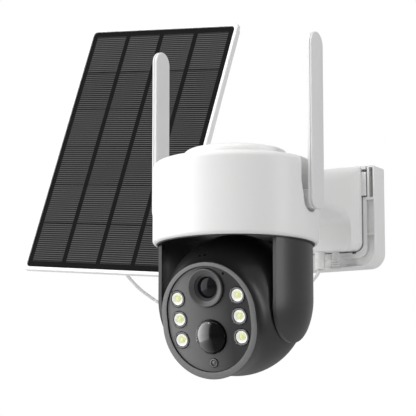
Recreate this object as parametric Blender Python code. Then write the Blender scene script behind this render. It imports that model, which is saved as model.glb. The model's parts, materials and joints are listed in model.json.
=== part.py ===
"""Solar-powered pan and tilt security camera on its wall bracket, with its solar panel and cable.

The origin is the centre of the wall bracket's back face. The wall is the plane Y = 0 and the
camera looks towards -Y. Lengths are in metres.
"""

import math

import bmesh
import bpy
from mathutils import Matrix, Vector

# Frame: the wall bracket and the point where the turning head's axis meets the shell's rim.
WALL_REACH = 0.162
RIM_DROP = 0.037
GAP = 0.0003

# Upper shell, its cap and its base plate, measured up from the rim.
SHELL_RADIUS = 0.055
SHELL_HEIGHT = 0.0545
SHELL_WALL = 0.0023
SHELL_TOP_ROUND = 0.0045
SHELL_RIM_ROUND = 0.0028
CAP_HOLE_RADIUS = 0.032
CAP_RADIUS = 0.0375
CAP_TOP_RADIUS = 0.0355
CAP_HEIGHT = 0.0635
BASE_SKIRT_RADIUS = 0.0524
BASE_SKIRT_INNER = 0.0515
BASE_LEVEL = 0.0130
BASE_THICKNESS = 0.0025
PAN_BORE = 0.0125

# Antennas and the pockets that they stand in.
POCKET_FLOOR = 0.0505
POCKET_FRONT = -0.0125
POCKET_BACK = 0.0150
POCKET_LEVEL = 0.0195
ANTENNA_INNER = 0.0568
ANTENNA_THICKNESS = 0.0038
ANTENNA_WIDTH = 0.0172
ANTENNA_SETBACK = 0.0012
ANTENNA_AXIS_Z = 0.0268
ANTENNA_TIP_Z = 0.1376
ANTENNA_FOOT_Z = 0.0198
ANTENNA_HUB_RADIUS = 0.0066
PIN_RADIUS = 0.0020

# Power and drive inside the shell.
CELL_RADIUS = 0.0092
CELL_LENGTH = 0.0650
CELL_PITCH = 0.0193
CELL_LEVEL = 0.0385
CELL_FIRST_X = -0.0290
GEAR_MODULE = 0.0015
PAN_GEAR_TEETH = 32
PAN_PINION_TEETH = 10
PAN_GEAR_LEVEL = 0.0175
PAN_GEAR_THICKNESS = 0.0035
PAN_HUB_RADIUS = 0.0120
PAN_NECK_RADIUS = 0.0085
PAN_BEARING_RADIUS = 0.0170
TRAY_LOW = (-0.0360, -0.0346, 0.0275)
TRAY_HIGH = (0.0195, 0.0346, 0.0370)
TRAY_WALL = 0.0016
BOARD_RADIUS = 0.0285
BOARD_LEVEL = 0.0495
BOARD_THICKNESS = 0.0016
PAN_MOTOR_RADIUS = 0.0100
PAN_MOTOR_LOW = 0.0240
PAN_MOTOR_HIGH = 0.0400
TILT_PIN_RADIUS = 0.0030
PIVOT_HOLE_RADIUS = 0.0034
SCREW_SEGMENTS = 16

# Yoke: a thin cylinder with a domed foot, cut down to two cheeks.
YOKE_RADIUS = 0.0510
YOKE_WALL = 0.0020
YOKE_DOME_Z = -0.0365
YOKE_CEILING = 0.0085
YOKE_CEILING_THICKNESS = 0.0030
CHEEK_HALF_WIDTH = 0.0265
TILT_AXIS_Z = -0.0400

# Head, in its own frame: the tilt axis is the origin and the face looks along -Y.
HEAD_REST_TILT = math.radians(12.6)
HEAD_RADIUS = 0.0465
HEAD_FLAT = 0.0393
HEAD_WALL = 0.0020
HEAD_SPLIT = 0.0080
FACE_DEPTH = 0.0375
BEZEL_PROUD = 0.0014
BEZEL_HALF_WIDTH = 0.0343
BEZEL_HEIGHT = 0.0758
BEZEL_CENTRE_Z = -0.0052
PLATE_HALF_WIDTH = 0.0301
PLATE_HEIGHT = 0.0681
PLATE_CENTRE_Z = -0.0042
PLATE_THICKNESS = 0.0018
LENS_Z = 0.0160
LENS_RADIUS = 0.0125
LENS_GLASS_RADIUS = 0.0068
PIR_Z = -0.0156
PIR_RADIUS = 0.0110
LED_X = 0.0219
LED_ROW_Z = -0.0034
LED_PITCH = 0.0134
LED_RADIUS = 0.0054
SENSOR_Z = -0.0325
SENSOR_RADIUS = 0.0029

# Wall bracket and the arm that slides down into it.
BRACKET_HALF_WIDTH = 0.0360
BRACKET_DEPTH = 0.0180
BRACKET_BOTTOM = 0.0000
BRACKET_TOP = 0.0738
BRACKET_CORNER = 0.0110
BRACKET_RIM = 0.0065
BRACKET_BACK = 0.0050
FLANGE_HALF_WIDTH = 0.0262
FLANGE_BOTTOM = 0.0112
FLANGE_DEPTH = 0.0120
BLOCK_BOTTOM = 0.0114
GLAND_X = -0.0028
GLAND_Y = 0.1333
GLAND_RADIUS = 0.0038
GLAND_FOOT = -0.0016
GLAND_TOP = BLOCK_BOTTOM - GAP
PLUG_X = 0.0085
PLUG_Y = 0.1360

# Solar panel, in its own frame: the tilt pin is the origin and the cells face -Y.
PANEL_PIVOT = Vector((-0.1305, -0.0618, 0.0492))
PANEL_TURN = math.radians(-2.7)
PANEL_LEAN = math.radians(-16.2)
PANEL_ROLL = math.radians(6.3)
PANEL_WIDTH = 0.1355
PANEL_HEIGHT = 0.2015
PANEL_DEPTH = 0.0060
PANEL_CORNER = 0.0030
PANEL_BORDER = 0.0025
PANEL_FACE = 0.0215
SWIVEL_SETBACK = 0.0130
BLOCK_HALF_WIDTH = 0.0070
LUG_THICKNESS = 0.0040
BRACKET_PIN_RADIUS = 0.0025

# The cable, from the panel's junction box to the gland under the wall bracket.
CABLE_RADIUS = 0.0012

camera_origin = Vector((0, -WALL_REACH, -RIM_DROP))


def clear_scene():
    for obj in list(bpy.data.objects):
        bpy.data.objects.remove(obj, do_unlink=True)


def make_material(name, colour, roughness, metallic=0.0):
    material = bpy.data.materials.new(name)
    material.use_nodes = True
    shader = material.node_tree.nodes["Principled BSDF"]
    shader.inputs["Base Color"].default_value = (*colour, 1.0)
    shader.inputs["Roughness"].default_value = roughness
    shader.inputs["Metallic"].default_value = metallic
    material.diffuse_color = (*colour, 1.0)
    return material


def make_empty(name, location, parent=None):
    empty = bpy.data.objects.new(name, None)
    bpy.context.collection.objects.link(empty)
    empty.location = location
    empty.parent = parent
    return empty


def add_object(name, mesh, material, parent=None):
    """Links one named sub-part, shaded smooth with its sharp edges kept."""
    obj = bpy.data.objects.new(name, mesh)
    bpy.context.collection.objects.link(obj)
    obj.parent = parent
    if material:
        obj.data.materials.append(material)
    obj.data.shade_smooth()
    obj.data.set_sharp_from_angle(angle=math.radians(35))
    return obj


def finish_bmesh(name, shape):
    bmesh.ops.remove_doubles(shape, verts=shape.verts, dist=1e-6)
    bmesh.ops.recalc_face_normals(shape, faces=shape.faces)
    mesh = bpy.data.meshes.new(name)
    shape.to_mesh(mesh)
    shape.free()
    return mesh


def turned_mesh(name, profile, segments=32, axis="Z", centre=(0, 0, 0)):
    """Turns a profile of (radius, height) points round an axis. The profile ends close it."""
    shape = bmesh.new()
    points = [shape.verts.new((radius, 0, height)) for radius, height in profile]
    edges = [shape.edges.new(pair) for pair in zip(points, points[1:])]
    if min(profile[0][0], profile[-1][0]) > 0:
        edges.append(shape.edges.new((points[-1], points[0])))
    bmesh.ops.spin(
        shape, geom=points + edges, cent=(0, 0, 0), axis=(0, 0, 1),
        angle=math.tau, steps=segments, use_merge=True, use_duplicate=False,
    )
    turn = {"X": Matrix.Rotation(math.pi / 2, 4, "Y"), "Y": Matrix.Rotation(-math.pi / 2, 4, "X")}
    bmesh.ops.transform(
        shape, matrix=Matrix.Translation(centre) @ turn.get(axis, Matrix()), verts=shape.verts
    )
    return finish_bmesh(name, shape)


def rod_mesh(name, radius, start, end, axis="Z", centre=(0, 0, 0), segments=20, bevel=0.0):
    """A round bar or a disc from start to end along an axis, with a small chamfer at each end."""
    profile = [(0, start), (radius - bevel, start), (radius, start + bevel),
               (radius, end - bevel), (radius - bevel, end), (0, end)]
    if not bevel:
        profile = [(0, start), (radius, start), (radius, end), (0, end)]
    return turned_mesh(name, profile, segments, axis, centre)


def tube_mesh(name, outer, inner, start, end, axis="Z", centre=(0, 0, 0), segments=24):
    profile = [(inner, start), (outer, start), (outer, end), (inner, end)]
    return turned_mesh(name, profile, segments, axis, centre)


def box_mesh(name, low, high, bevel=0.0, segments=2):
    shape = bmesh.new()
    low, high = Vector(low), Vector(high)
    bmesh.ops.create_cube(shape, size=1.0)
    bmesh.ops.scale(shape, vec=high - low, verts=shape.verts)
    bmesh.ops.translate(shape, vec=(low + high) / 2, verts=shape.verts)
    if bevel:
        bmesh.ops.bevel(
            shape, geom=shape.edges, offset=bevel, segments=segments, profile=0.5,
            affect="EDGES", material=-1,
        )
    return finish_bmesh(name, shape)


def arc(centre, radius, start, end, steps):
    """Points along an arc, angles in degrees, as (first, second) coordinates."""
    for step in range(steps + 1):
        angle = math.radians(start + (end - start) * step / steps)
        yield (centre[0] + radius * math.cos(angle), centre[1] + radius * math.sin(angle))


def rounded_outline(half_width, bottom, top, radius_bottom, radius_top, steps=5):
    """A rectangle's outline with its lower and its upper corners rounded."""
    outline = []
    corners = [
        (half_width - radius_bottom, bottom + radius_bottom, radius_bottom, -90),
        (half_width - radius_top, top - radius_top, radius_top, 0),
        (-half_width + radius_top, top - radius_top, radius_top, 90),
        (-half_width + radius_bottom, bottom + radius_bottom, radius_bottom, 180),
    ]
    for across, up, radius, angle in corners:
        if radius > 0:
            outline += list(arc((across, up), radius, angle, angle + 90, steps))
        else:
            outline.append((across, up))
    return outline


def prism_mesh(name, outline, start, end, axis="Y", centre=(0, 0, 0)):
    """Extrudes an outline of (first, second) points, such as (X, Z), along an axis."""
    place = {
        "X": lambda a, b, along: (along, a, b),
        "Y": lambda a, b, along: (a, along, b),
        "Z": lambda a, b, along: (a, b, along),
    }[axis]
    shape = bmesh.new()
    loop = [shape.verts.new(Vector(place(a, b, start)) + Vector(centre)) for a, b in outline]
    face = shape.faces.new(loop)
    extruded = bmesh.ops.extrude_face_region(shape, geom=[face])["geom"]
    moved = [item for item in extruded if isinstance(item, bmesh.types.BMVert)]
    bmesh.ops.translate(shape, vec=Vector(place(0, 0, end - start)), verts=moved)
    return finish_bmesh(name, shape)


def ball_mesh(name, radius, segments, rings):
    """A ball with its poles on the X axis, so that it turns cleanly about the tilt axis."""
    profile = list(arc((0, 0), radius, -90, 90, rings))
    profile[0] = (0, -radius)
    profile[-1] = (0, radius)
    return turned_mesh(name, profile, segments, axis="X")


def cut(obj, cutter_name, mesh, operation="DIFFERENCE"):
    """Adds a Boolean with its own hidden cutter, in the object's own frame."""
    cutter = bpy.data.objects.new(cutter_name, mesh)
    bpy.context.collection.objects.link(cutter)
    cutter.parent = obj.parent
    cutter.hide_render = True
    cutter.display_type = "WIRE"
    modifier = obj.modifiers.new(cutter_name, "BOOLEAN")
    modifier.operation = operation
    modifier.object = cutter
    return cutter


def gear_outline(teeth, module, turn=0.0):
    """A spur gear's outline with straight-sided teeth, a little thin so that a pair runs free."""
    pitch = teeth * module / 2
    outer = pitch + 0.80 * module
    root = pitch - 1.05 * module
    step = math.tau / teeth
    outline = []
    for tooth in range(teeth):
        middle = tooth * step + turn
        for radius, share in ((root, -0.36), (outer, -0.13), (outer, 0.13), (root, 0.36)):
            angle = middle + share * step
            outline.append((radius * math.cos(angle), radius * math.sin(angle)))
    return outline


clear_scene()
white = make_material("white_plastic", (0.80, 0.80, 0.79), 0.38)
antenna_white = make_material("antenna_plastic", (0.78, 0.78, 0.78), 0.42)
black = make_material("black_plastic", (0.022, 0.022, 0.024), 0.34)
bezel_grey = make_material("face_plastic", (0.070, 0.070, 0.070), 0.45)
rubber = make_material("soft_rubber", (0.55, 0.55, 0.53), 0.75)
steel = make_material("screw_steel", (0.56, 0.56, 0.57), 0.30, 1.0)
glass = make_material("lens_glass", (0.010, 0.010, 0.014), 0.04)
cells = make_material("panel_cells", (0.018, 0.018, 0.018), 0.22)
battery_wrap = make_material("battery_wrap", (0.05, 0.22, 0.50), 0.40)
board_green = make_material("circuit_board", (0.02, 0.16, 0.07), 0.50)
nylon = make_material("gear_nylon", (0.72, 0.70, 0.62), 0.50)
led_clear = make_material("led_lens", (0.85, 0.86, 0.62), 0.15)
cable_white = make_material("cable_jacket", (0.74, 0.74, 0.73), 0.50)

camera = make_empty("camera_datum", camera_origin)
pan_axis = make_empty("pan_axis", (0, 0, 0), camera)
tilt_axis = make_empty("tilt_axis", (0, 0, TILT_AXIS_Z), pan_axis)
tilt_axis.rotation_euler = (HEAD_REST_TILT, 0, 0)


# Upper shell: a turned cup, open below, with a flat-floored pocket for each antenna.
def shell_profile():
    inner = SHELL_RADIUS - SHELL_WALL
    side = list(arc((SHELL_RADIUS - SHELL_RIM_ROUND, SHELL_RIM_ROUND), SHELL_RIM_ROUND, -75, 0, 2))
    top = list(arc((SHELL_RADIUS - SHELL_TOP_ROUND, SHELL_HEIGHT - SHELL_TOP_ROUND),
                   SHELL_TOP_ROUND, 0, 90, 3))
    return ([(inner, 0.0)] + side + top
            + [(CAP_HOLE_RADIUS, SHELL_HEIGHT), (CAP_HOLE_RADIUS, SHELL_HEIGHT - SHELL_WALL),
               (inner, SHELL_HEIGHT - SHELL_WALL)])


def build_shell():
    mesh = turned_mesh("upper_shell", shell_profile(), 40)
    shell = add_object("upper_shell", mesh, white, camera)
    floor_back = POCKET_FLOOR - SHELL_WALL
    for side, label in ((1, "right"), (-1, "left")):
        wall_low = (side * floor_back, POCKET_FRONT - SHELL_WALL, POCKET_LEVEL - SHELL_WALL)
        wall_high = (side * (SHELL_RADIUS - 0.0040), POCKET_BACK + SHELL_WALL,
                     SHELL_HEIGHT - 0.0010)
        low = [min(pair) for pair in zip(wall_low, wall_high)]
        high = [max(pair) for pair in zip(wall_low, wall_high)]
        cut(shell, label + "_pocket_wall", box_mesh(label + "_pocket_wall", low, high), "UNION")
        outline = rounded_outline((POCKET_BACK - POCKET_FRONT) / 2, POCKET_LEVEL, 0.08, 0.006, 0, 4)
        middle = (POCKET_BACK + POCKET_FRONT) / 2
        ends = sorted((side * POCKET_FLOOR, side * (SHELL_RADIUS + 0.01)))
        cut(shell, label + "_pocket",
            prism_mesh(label + "_pocket", outline, *ends, "X", (0, middle, 0)))
        ends = sorted((side * (floor_back - 0.002), side * (POCKET_FLOOR + 0.002)))
        cut(shell, label + "_pin_hole",
            rod_mesh(label + "_pin_hole", PIN_RADIUS + 0.0004, *ends, "X",
                     (0, ANTENNA_SETBACK, ANTENNA_AXIS_Z), 16))
    return shell


build_shell()

# Cap: the stepped dome over the radio board, with a spigot that drops into the shell's hole.
cap_outer = [(CAP_RADIUS, SHELL_HEIGHT + GAP), (CAP_RADIUS - 0.0008, SHELL_HEIGHT + 0.0012)]
cap_outer += [(CAP_TOP_RADIUS - 0.0005, SHELL_HEIGHT + 0.0030)]
cap_outer += list(arc((CAP_TOP_RADIUS - 0.0050, CAP_HEIGHT - 0.0050), 0.0050, 10, 82, 3))
cap_outer += [(0.0150, CAP_HEIGHT + 0.0003), (0, CAP_HEIGHT + 0.0004)]
cap_inner = [(0, CAP_HEIGHT - 0.0022), (CAP_TOP_RADIUS - 0.0070, CAP_HEIGHT - 0.0022),
             (CAP_HOLE_RADIUS - 0.0022, SHELL_HEIGHT + 0.0045),
             (CAP_HOLE_RADIUS - 0.0022, SHELL_HEIGHT - 0.0060),
             (CAP_HOLE_RADIUS - 0.0006, SHELL_HEIGHT - 0.0060),
             (CAP_HOLE_RADIUS - 0.0006, SHELL_HEIGHT + GAP)]
add_object("top_cap", turned_mesh("top_cap", (cap_outer + cap_inner)[::-1], 32), white, camera)
add_object("cap_seal", tube_mesh("cap_seal", CAP_HOLE_RADIUS + 0.0022, CAP_HOLE_RADIUS + GAP,
                                 SHELL_HEIGHT - SHELL_WALL - 0.0018,
                                 SHELL_HEIGHT - SHELL_WALL - GAP), rubber, camera)

# Base plate: closes the shell and carries the pan bearing. Its skirt shields the running gap.
base_profile = [(PAN_BORE, BASE_LEVEL), (BASE_SKIRT_INNER, BASE_LEVEL),
                (BASE_SKIRT_INNER, 0.0008), (BASE_SKIRT_RADIUS, 0.0008),
                (BASE_SKIRT_RADIUS, BASE_LEVEL + BASE_THICKNESS),
                (PAN_BORE, BASE_LEVEL + BASE_THICKNESS)]
add_object("base_plate", turned_mesh("base_plate", base_profile, 36), black, camera)
add_object("pan_bearing", tube_mesh("pan_bearing", PAN_BEARING_RADIUS, PAN_BORE, YOKE_CEILING
                                    + YOKE_CEILING_THICKNESS + GAP, BASE_LEVEL - GAP,
                                    segments=28), nylon, camera)

# Cells, their tray, and the radio board under the cap.
tray = add_object("battery_tray", box_mesh("battery_tray", TRAY_LOW, TRAY_HIGH), black, camera)
hollow_low = (TRAY_LOW[0] - 0.01, TRAY_LOW[1] + TRAY_WALL, TRAY_LOW[2] + TRAY_WALL)
hollow_high = (TRAY_HIGH[0] + 0.01, TRAY_HIGH[1] - TRAY_WALL, TRAY_HIGH[2] + 0.01)
cut(tray, "tray_hollow", box_mesh("tray_hollow", hollow_low, hollow_high))
for cell in range(3):
    centre = (CELL_FIRST_X + cell * CELL_PITCH, 0, CELL_LEVEL)
    name = f"battery_cell_{cell + 1}"
    add_object(name, rod_mesh(name, CELL_RADIUS, -CELL_LENGTH / 2, CELL_LENGTH / 2, "Y", centre,
                              20, 0.0008), battery_wrap, camera)
add_object("main_board", rod_mesh("main_board", BOARD_RADIUS, BOARD_LEVEL,
                                  BOARD_LEVEL + BOARD_THICKNESS, segments=28), board_green, camera)

# Pan drive: a motor over the base plate, whose pinion turns the gear on the yoke's hub.
pinion_x = GEAR_MODULE * (PAN_GEAR_TEETH + PAN_PINION_TEETH) / 2
pinion_axis = make_empty("pan_pinion_axis", (pinion_x, 0, 0), camera)
add_object("pan_motor", rod_mesh("pan_motor", PAN_MOTOR_RADIUS, PAN_MOTOR_LOW, PAN_MOTOR_HIGH,
                                 "Z", (pinion_x, 0, 0), 24, 0.0008), steel, camera)
gear = add_object("pan_gear", prism_mesh("pan_gear", gear_outline(PAN_GEAR_TEETH, GEAR_MODULE),
                                         PAN_GEAR_LEVEL, PAN_GEAR_LEVEL + PAN_GEAR_THICKNESS,
                                         "Z"), nylon, pan_axis)
cut(gear, "gear_bore", rod_mesh("gear_bore", PAN_NECK_RADIUS + GAP, 0, 0.03, segments=32))
half_tooth = math.pi / PAN_PINION_TEETH
add_object("pan_pinion", prism_mesh("pan_pinion", gear_outline(PAN_PINION_TEETH, GEAR_MODULE,
                                                              turn=math.pi + half_tooth),
                                    PAN_GEAR_LEVEL, PAN_MOTOR_LOW - 0.0005, "Z"),
           steel, pinion_axis)


# Yoke: ceiling, hub and two thin cheeks, cut from one turned shell.
def build_yoke():
    outer = [(YOKE_RADIUS, YOKE_CEILING + YOKE_CEILING_THICKNESS)]
    outer += list(arc((0, YOKE_DOME_Z), YOKE_RADIUS, 0, -50, 5))
    inner_radius = YOKE_RADIUS - YOKE_WALL
    inner = list(arc((0, YOKE_DOME_Z), inner_radius, -50, 0, 5)) + [(inner_radius, YOKE_CEILING)]
    hub_bore = PAN_HUB_RADIUS - 0.0060
    hub_top = PAN_GEAR_LEVEL + PAN_GEAR_THICKNESS + 0.0015
    hub = [(hub_bore, YOKE_CEILING), (hub_bore, hub_top), (PAN_NECK_RADIUS, hub_top),
           (PAN_NECK_RADIUS, PAN_GEAR_LEVEL - GAP), (PAN_HUB_RADIUS, PAN_GEAR_LEVEL - GAP),
           (PAN_HUB_RADIUS, YOKE_CEILING + YOKE_CEILING_THICKNESS)]
    profile = outer + inner + hub
    yoke = add_object("yoke", turned_mesh("yoke", profile, 48), black, pan_axis)
    reach = 2 * YOKE_RADIUS
    foot = list(arc((0, TILT_AXIS_Z), CHEEK_HALF_WIDTH, 180, 360, 14))
    outline = [(-reach, -reach), (-reach, 0.0004), (-CHEEK_HALF_WIDTH, 0.0004)]
    outline += foot + [(CHEEK_HALF_WIDTH, 0.0004), (reach, 0.0004), (reach, -reach)]
    cut(yoke, "cheek_outline", prism_mesh("cheek_outline", outline, -reach, reach, "X"))
    for side, label in ((1, "right"), (-1, "left")):
        ends = sorted((side * 0.030, side * 0.060))
        cut(yoke, label + "_tilt_hole", rod_mesh(label + "_tilt_hole", PIVOT_HOLE_RADIUS, *ends,
                                                 "X", (0, 0, TILT_AXIS_Z)))
    return yoke


build_yoke()
for side, label in ((1, "right"), (-1, "left")):
    profile = [(0, 0.0360), (TILT_PIN_RADIUS, 0.0360), (TILT_PIN_RADIUS, 0.0498), (0, 0.0498)]
    if side < 0:
        profile = [(radius, -along) for radius, along in profile]
    add_object(label + "_tilt_pin", turned_mesh(label + "_tilt_pin", profile, 20, "X",
                                                (0, 0, TILT_AXIS_Z)), steel, pan_axis)


# Head: a ball with flat sides and an oval snout, split into a front and a rear shell.
def oval(half_width, height, centre_z, steps=10):
    straight = height / 2 - half_width
    return (list(arc((0, centre_z + straight), half_width, 0, 180, steps))
            + list(arc((0, centre_z - straight), half_width, 180, 360, steps)))


def head_solid(name, shrink, parent, ball_front, snout_front=None):
    """The ball, cut off flat at its front, and the oval snout, shrunk by a wall's thickness."""
    blank = add_object(name, ball_mesh(name, HEAD_RADIUS - shrink, 32, 16), None, parent)
    cut(blank, name + "_ball_front", box_mesh(name + "_ball_front", (-0.06, -0.06, -0.06),
                                              (0.06, ball_front, 0.06)))
    if snout_front:
        outline = oval(BEZEL_HALF_WIDTH - shrink, BEZEL_HEIGHT - 2 * shrink, BEZEL_CENTRE_Z)
        cut(blank, name + "_snout", prism_mesh(name + "_snout", outline, snout_front, 0.0), "UNION")
    for side, label in ((1, "right"), (-1, "left")):
        ends = sorted((side * (HEAD_FLAT - shrink), side * 0.06))
        cut(blank, f"{name}_{label}_flat", box_mesh(f"{name}_{label}_flat",
                                                    (ends[0], -0.06, -0.06),
                                                    (ends[1], 0.06, 0.06)))
    return blank


def hide_as_cutter(obj):
    obj.hide_render = True
    obj.display_type = "WIRE"
    return obj


def build_head():
    front = -(FACE_DEPTH + BEZEL_PROUD)
    front_shell = head_solid("head_front_shell", 0.0, tilt_axis, -0.0350, front)
    front_shell.data.materials.append(black)
    hollow = hide_as_cutter(head_solid("head_hollow", HEAD_WALL, tilt_axis, -0.0300, -0.0300))
    rear_shell = head_solid("head_rear_shell", 0.0, tilt_axis, -0.0350)
    rear_shell.data.materials.append(black)
    for shell, low, high in ((front_shell, HEAD_SPLIT - GAP / 2, 0.06),
                             (rear_shell, -0.06, HEAD_SPLIT + GAP / 2)):
        cut(shell, shell.name + "_trim", box_mesh(shell.name + "_trim", (-0.06, low, -0.06),
                                                  (0.06, high, 0.06)))
        modifier = shell.modifiers.new("hollow", "BOOLEAN")
        modifier.object = hollow
    outline = oval(PLATE_HALF_WIDTH + GAP, PLATE_HEIGHT + 2 * GAP, PLATE_CENTRE_Z)
    cut(front_shell, "face_opening", prism_mesh("face_opening", outline, -0.045, -0.029))
    for side, label in ((1, "right"), (-1, "left")):
        ends = sorted((side * 0.035, side * 0.045))
        cut(front_shell, label + "_pivot_hole", rod_mesh(label + "_pivot_hole",
                                                         PIVOT_HOLE_RADIUS, *ends, "X"))


build_head()

# Face plate and what looks out through it.
plate = add_object("face_plate", prism_mesh("face_plate", oval(PLATE_HALF_WIDTH, PLATE_HEIGHT,
                                                               PLATE_CENTRE_Z),
                                            -FACE_DEPTH, -FACE_DEPTH + PLATE_THICKNESS),
                   bezel_grey, tilt_axis)
face_holes = [("lens", 0, LENS_Z, LENS_RADIUS), ("pir", 0, PIR_Z, PIR_RADIUS),
              ("sensor", 0, SENSOR_Z, SENSOR_RADIUS)]
led_places = [(side * LED_X, LED_ROW_Z + row * LED_PITCH) for row in (1, 0, -1)
              for side in (-1, 1)]
face_holes += [(f"led_{n + 1}", x, z, LED_RADIUS) for n, (x, z) in enumerate(led_places)]
for label, x, z, radius in face_holes:
    cut(plate, label + "_hole", rod_mesh(label + "_hole", radius + GAP, -0.045, -0.030, "Y",
                                         (x, 0, z), 16))

# Each profile below is (radius, Y) in the head's frame.
lens_profile = [(0, -0.0200), (LENS_RADIUS - 0.0020, -0.0200), (LENS_RADIUS, -0.0300),
                (LENS_RADIUS, -0.0388), (LENS_RADIUS - 0.0008, -0.0395),
                (LENS_RADIUS - 0.0020, -0.0395), (LENS_GLASS_RADIUS + 0.0012, -0.0365),
                (LENS_GLASS_RADIUS + GAP, -0.0362), (LENS_GLASS_RADIUS + GAP, -0.0320),
                (0, -0.0320)]
add_object("lens_barrel", turned_mesh("lens_barrel", lens_profile, 24, "Y",
                                      (0, 0, LENS_Z)), black, tilt_axis)
glass_profile = [(0, -0.0323), (LENS_GLASS_RADIUS, -0.0323), (LENS_GLASS_RADIUS, -0.0352),
                 (0.0045, -0.0368), (0, -0.0374)]
add_object("lens_glass", turned_mesh("lens_glass", glass_profile, 20, "Y",
                                     (0, 0, LENS_Z)), glass, tilt_axis)
PIR_CROWN = 0.0052
dome_foot = -FACE_DEPTH - GAP
dome = [(0, -0.0330), (PIR_RADIUS, -0.0330)]
dome += [(radius, dome_foot - PIR_CROWN * rise / PIR_RADIUS)
         for radius, rise in arc((0, 0), PIR_RADIUS, 0, 90, 5)]
add_object("motion_dome", turned_mesh("motion_dome", dome, 20, "Y",
                                      (0, 0, PIR_Z)), black, tilt_axis)
for n, (x, z) in enumerate(led_places):
    name = f"led_{n + 1}"
    led = [(0, -0.0335), (LED_RADIUS, -0.0335), (LED_RADIUS, -0.0379), (0.0040, -0.0382),
           (0, -0.0382)]
    add_object(name, turned_mesh(name, led, 14, "Y", (x, 0, z)), led_clear,
               tilt_axis)
sensor = [(0, -0.0335), (SENSOR_RADIUS, -0.0335), (SENSOR_RADIUS, -0.0378), (0, -0.0380)]
add_object("light_sensor", turned_mesh("light_sensor", sensor, 16, "Y",
                                       (0, 0, SENSOR_Z)), glass, tilt_axis)

# Inside the head: the board behind the face, the tilt motor and the speaker.
board = add_object("head_board", prism_mesh("head_board", oval(0.0270, 0.0640, -0.0045),
                                            -0.0326, -0.0310), board_green, tilt_axis)
cut(board, "board_lens_hole", rod_mesh("board_lens_hole", LENS_RADIUS + 0.0008, -0.040, -0.020,
                                       "Y", (0, 0, LENS_Z), 24))
motor = add_object("tilt_motor", rod_mesh("tilt_motor", 0.0100, 0.0165, 0.0350, "X",
                                          bevel=0.0008), steel, tilt_axis)
add_object("speaker", rod_mesh("speaker", 0.0110, 0.0180, 0.0240, "Y", (-0.0120, 0, -0.0120), 24,
                               0.0006), steel, tilt_axis)


# Antennas: flat paddles with a round tip and a hub that pivots in the shell's pocket.
def build_antenna(side, label):
    axis_x = side * (ANTENNA_INNER + ANTENNA_THICKNESS / 2)
    axis = make_empty(label + "_antenna_axis", (axis_x, ANTENNA_SETBACK, ANTENNA_AXIS_Z), camera)
    half = ANTENNA_WIDTH / 2
    foot = ANTENNA_FOOT_Z - ANTENNA_AXIS_Z
    tip = ANTENNA_TIP_Z - ANTENNA_AXIS_Z
    outline = list(arc((-half + 0.0065, foot + 0.0065), 0.0065, 180, 270, 4))
    outline += list(arc((half - 0.0065, foot + 0.0065), 0.0065, 270, 360, 4))
    outline += list(arc((0, tip - half), half, 0, 180, 10))
    thick = ANTENNA_THICKNESS / 2
    blade = prism_mesh(label + "_antenna", outline, -thick, thick, "X")
    antenna = add_object(label + "_antenna", blade, antenna_white, axis)
    bevel = antenna.modifiers.new("edge_round", "BEVEL")
    bevel.width = 0.0007
    bevel.segments = 1
    inside = side * (POCKET_FLOOR + GAP) - axis_x
    ends = sorted((inside, -side * thick * 0.5))
    cut(antenna, label + "_hub", rod_mesh(label + "_hub", ANTENNA_HUB_RADIUS, *ends, "X",
                                          segments=28), "UNION")
    ends = sorted((inside - side * 0.001, inside + side * 0.0042))
    cut(antenna, label + "_hub_bore", rod_mesh(label + "_hub_bore", PIN_RADIUS + 0.0001, *ends,
                                               "X", segments=16))
    pin_ends = sorted((side * (POCKET_FLOOR - 0.0055), side * (POCKET_FLOOR + 0.0040)))
    add_object(label + "_antenna_pin",
               rod_mesh(label + "_antenna_pin", PIN_RADIUS, *pin_ends, "X",
                        (0, ANTENNA_SETBACK, ANTENNA_AXIS_Z), 16), steel, camera)


build_antenna(-1, "left")
build_antenna(1, "right")


# Wall bracket: a tray, open at the top, that the arm's flange slides down into.
def build_bracket():
    outline = rounded_outline(BRACKET_HALF_WIDTH, BRACKET_BOTTOM, BRACKET_TOP, BRACKET_CORNER,
                              0.0015)
    mesh = prism_mesh("wall_bracket", outline, WALL_REACH - BRACKET_DEPTH, WALL_REACH)
    bracket = add_object("wall_bracket", mesh, white, camera)
    hollow = rounded_outline(BRACKET_HALF_WIDTH - BRACKET_RIM, FLANGE_BOTTOM - GAP, 0.09, 0.0065,
                             0)
    cut(bracket, "bracket_hollow", prism_mesh("bracket_hollow", hollow,
                                              WALL_REACH - BRACKET_DEPTH - 0.01,
                                              WALL_REACH - BRACKET_BACK))
    for n, (x, z) in enumerate(((-0.0160, 0.058), (0.0160, 0.058), (0, 0.0230))):
        hole = f"wall_screw_hole_{n + 1}"
        cut(bracket, hole, rod_mesh(hole, 0.0026, WALL_REACH - 0.02, WALL_REACH + 0.01, "Y",
                                    (x, 0, z), 16))
        profile = [(0, WALL_REACH - BRACKET_BACK - 0.0028), (0.0030, WALL_REACH - BRACKET_BACK
                   - 0.0028), (0.0042, WALL_REACH - BRACKET_BACK - 0.0014),
                   (0.0042, WALL_REACH - BRACKET_BACK - GAP),
                   (0.0021, WALL_REACH - BRACKET_BACK - GAP), (0.0021, WALL_REACH - 0.0006),
                   (0, WALL_REACH - 0.0006)]
        name = f"wall_screw_{n + 1}"
        add_object(name, turned_mesh(name, profile, 16, "Y", (x, 0, z)), steel, camera)
    return bracket


build_bracket()


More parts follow.
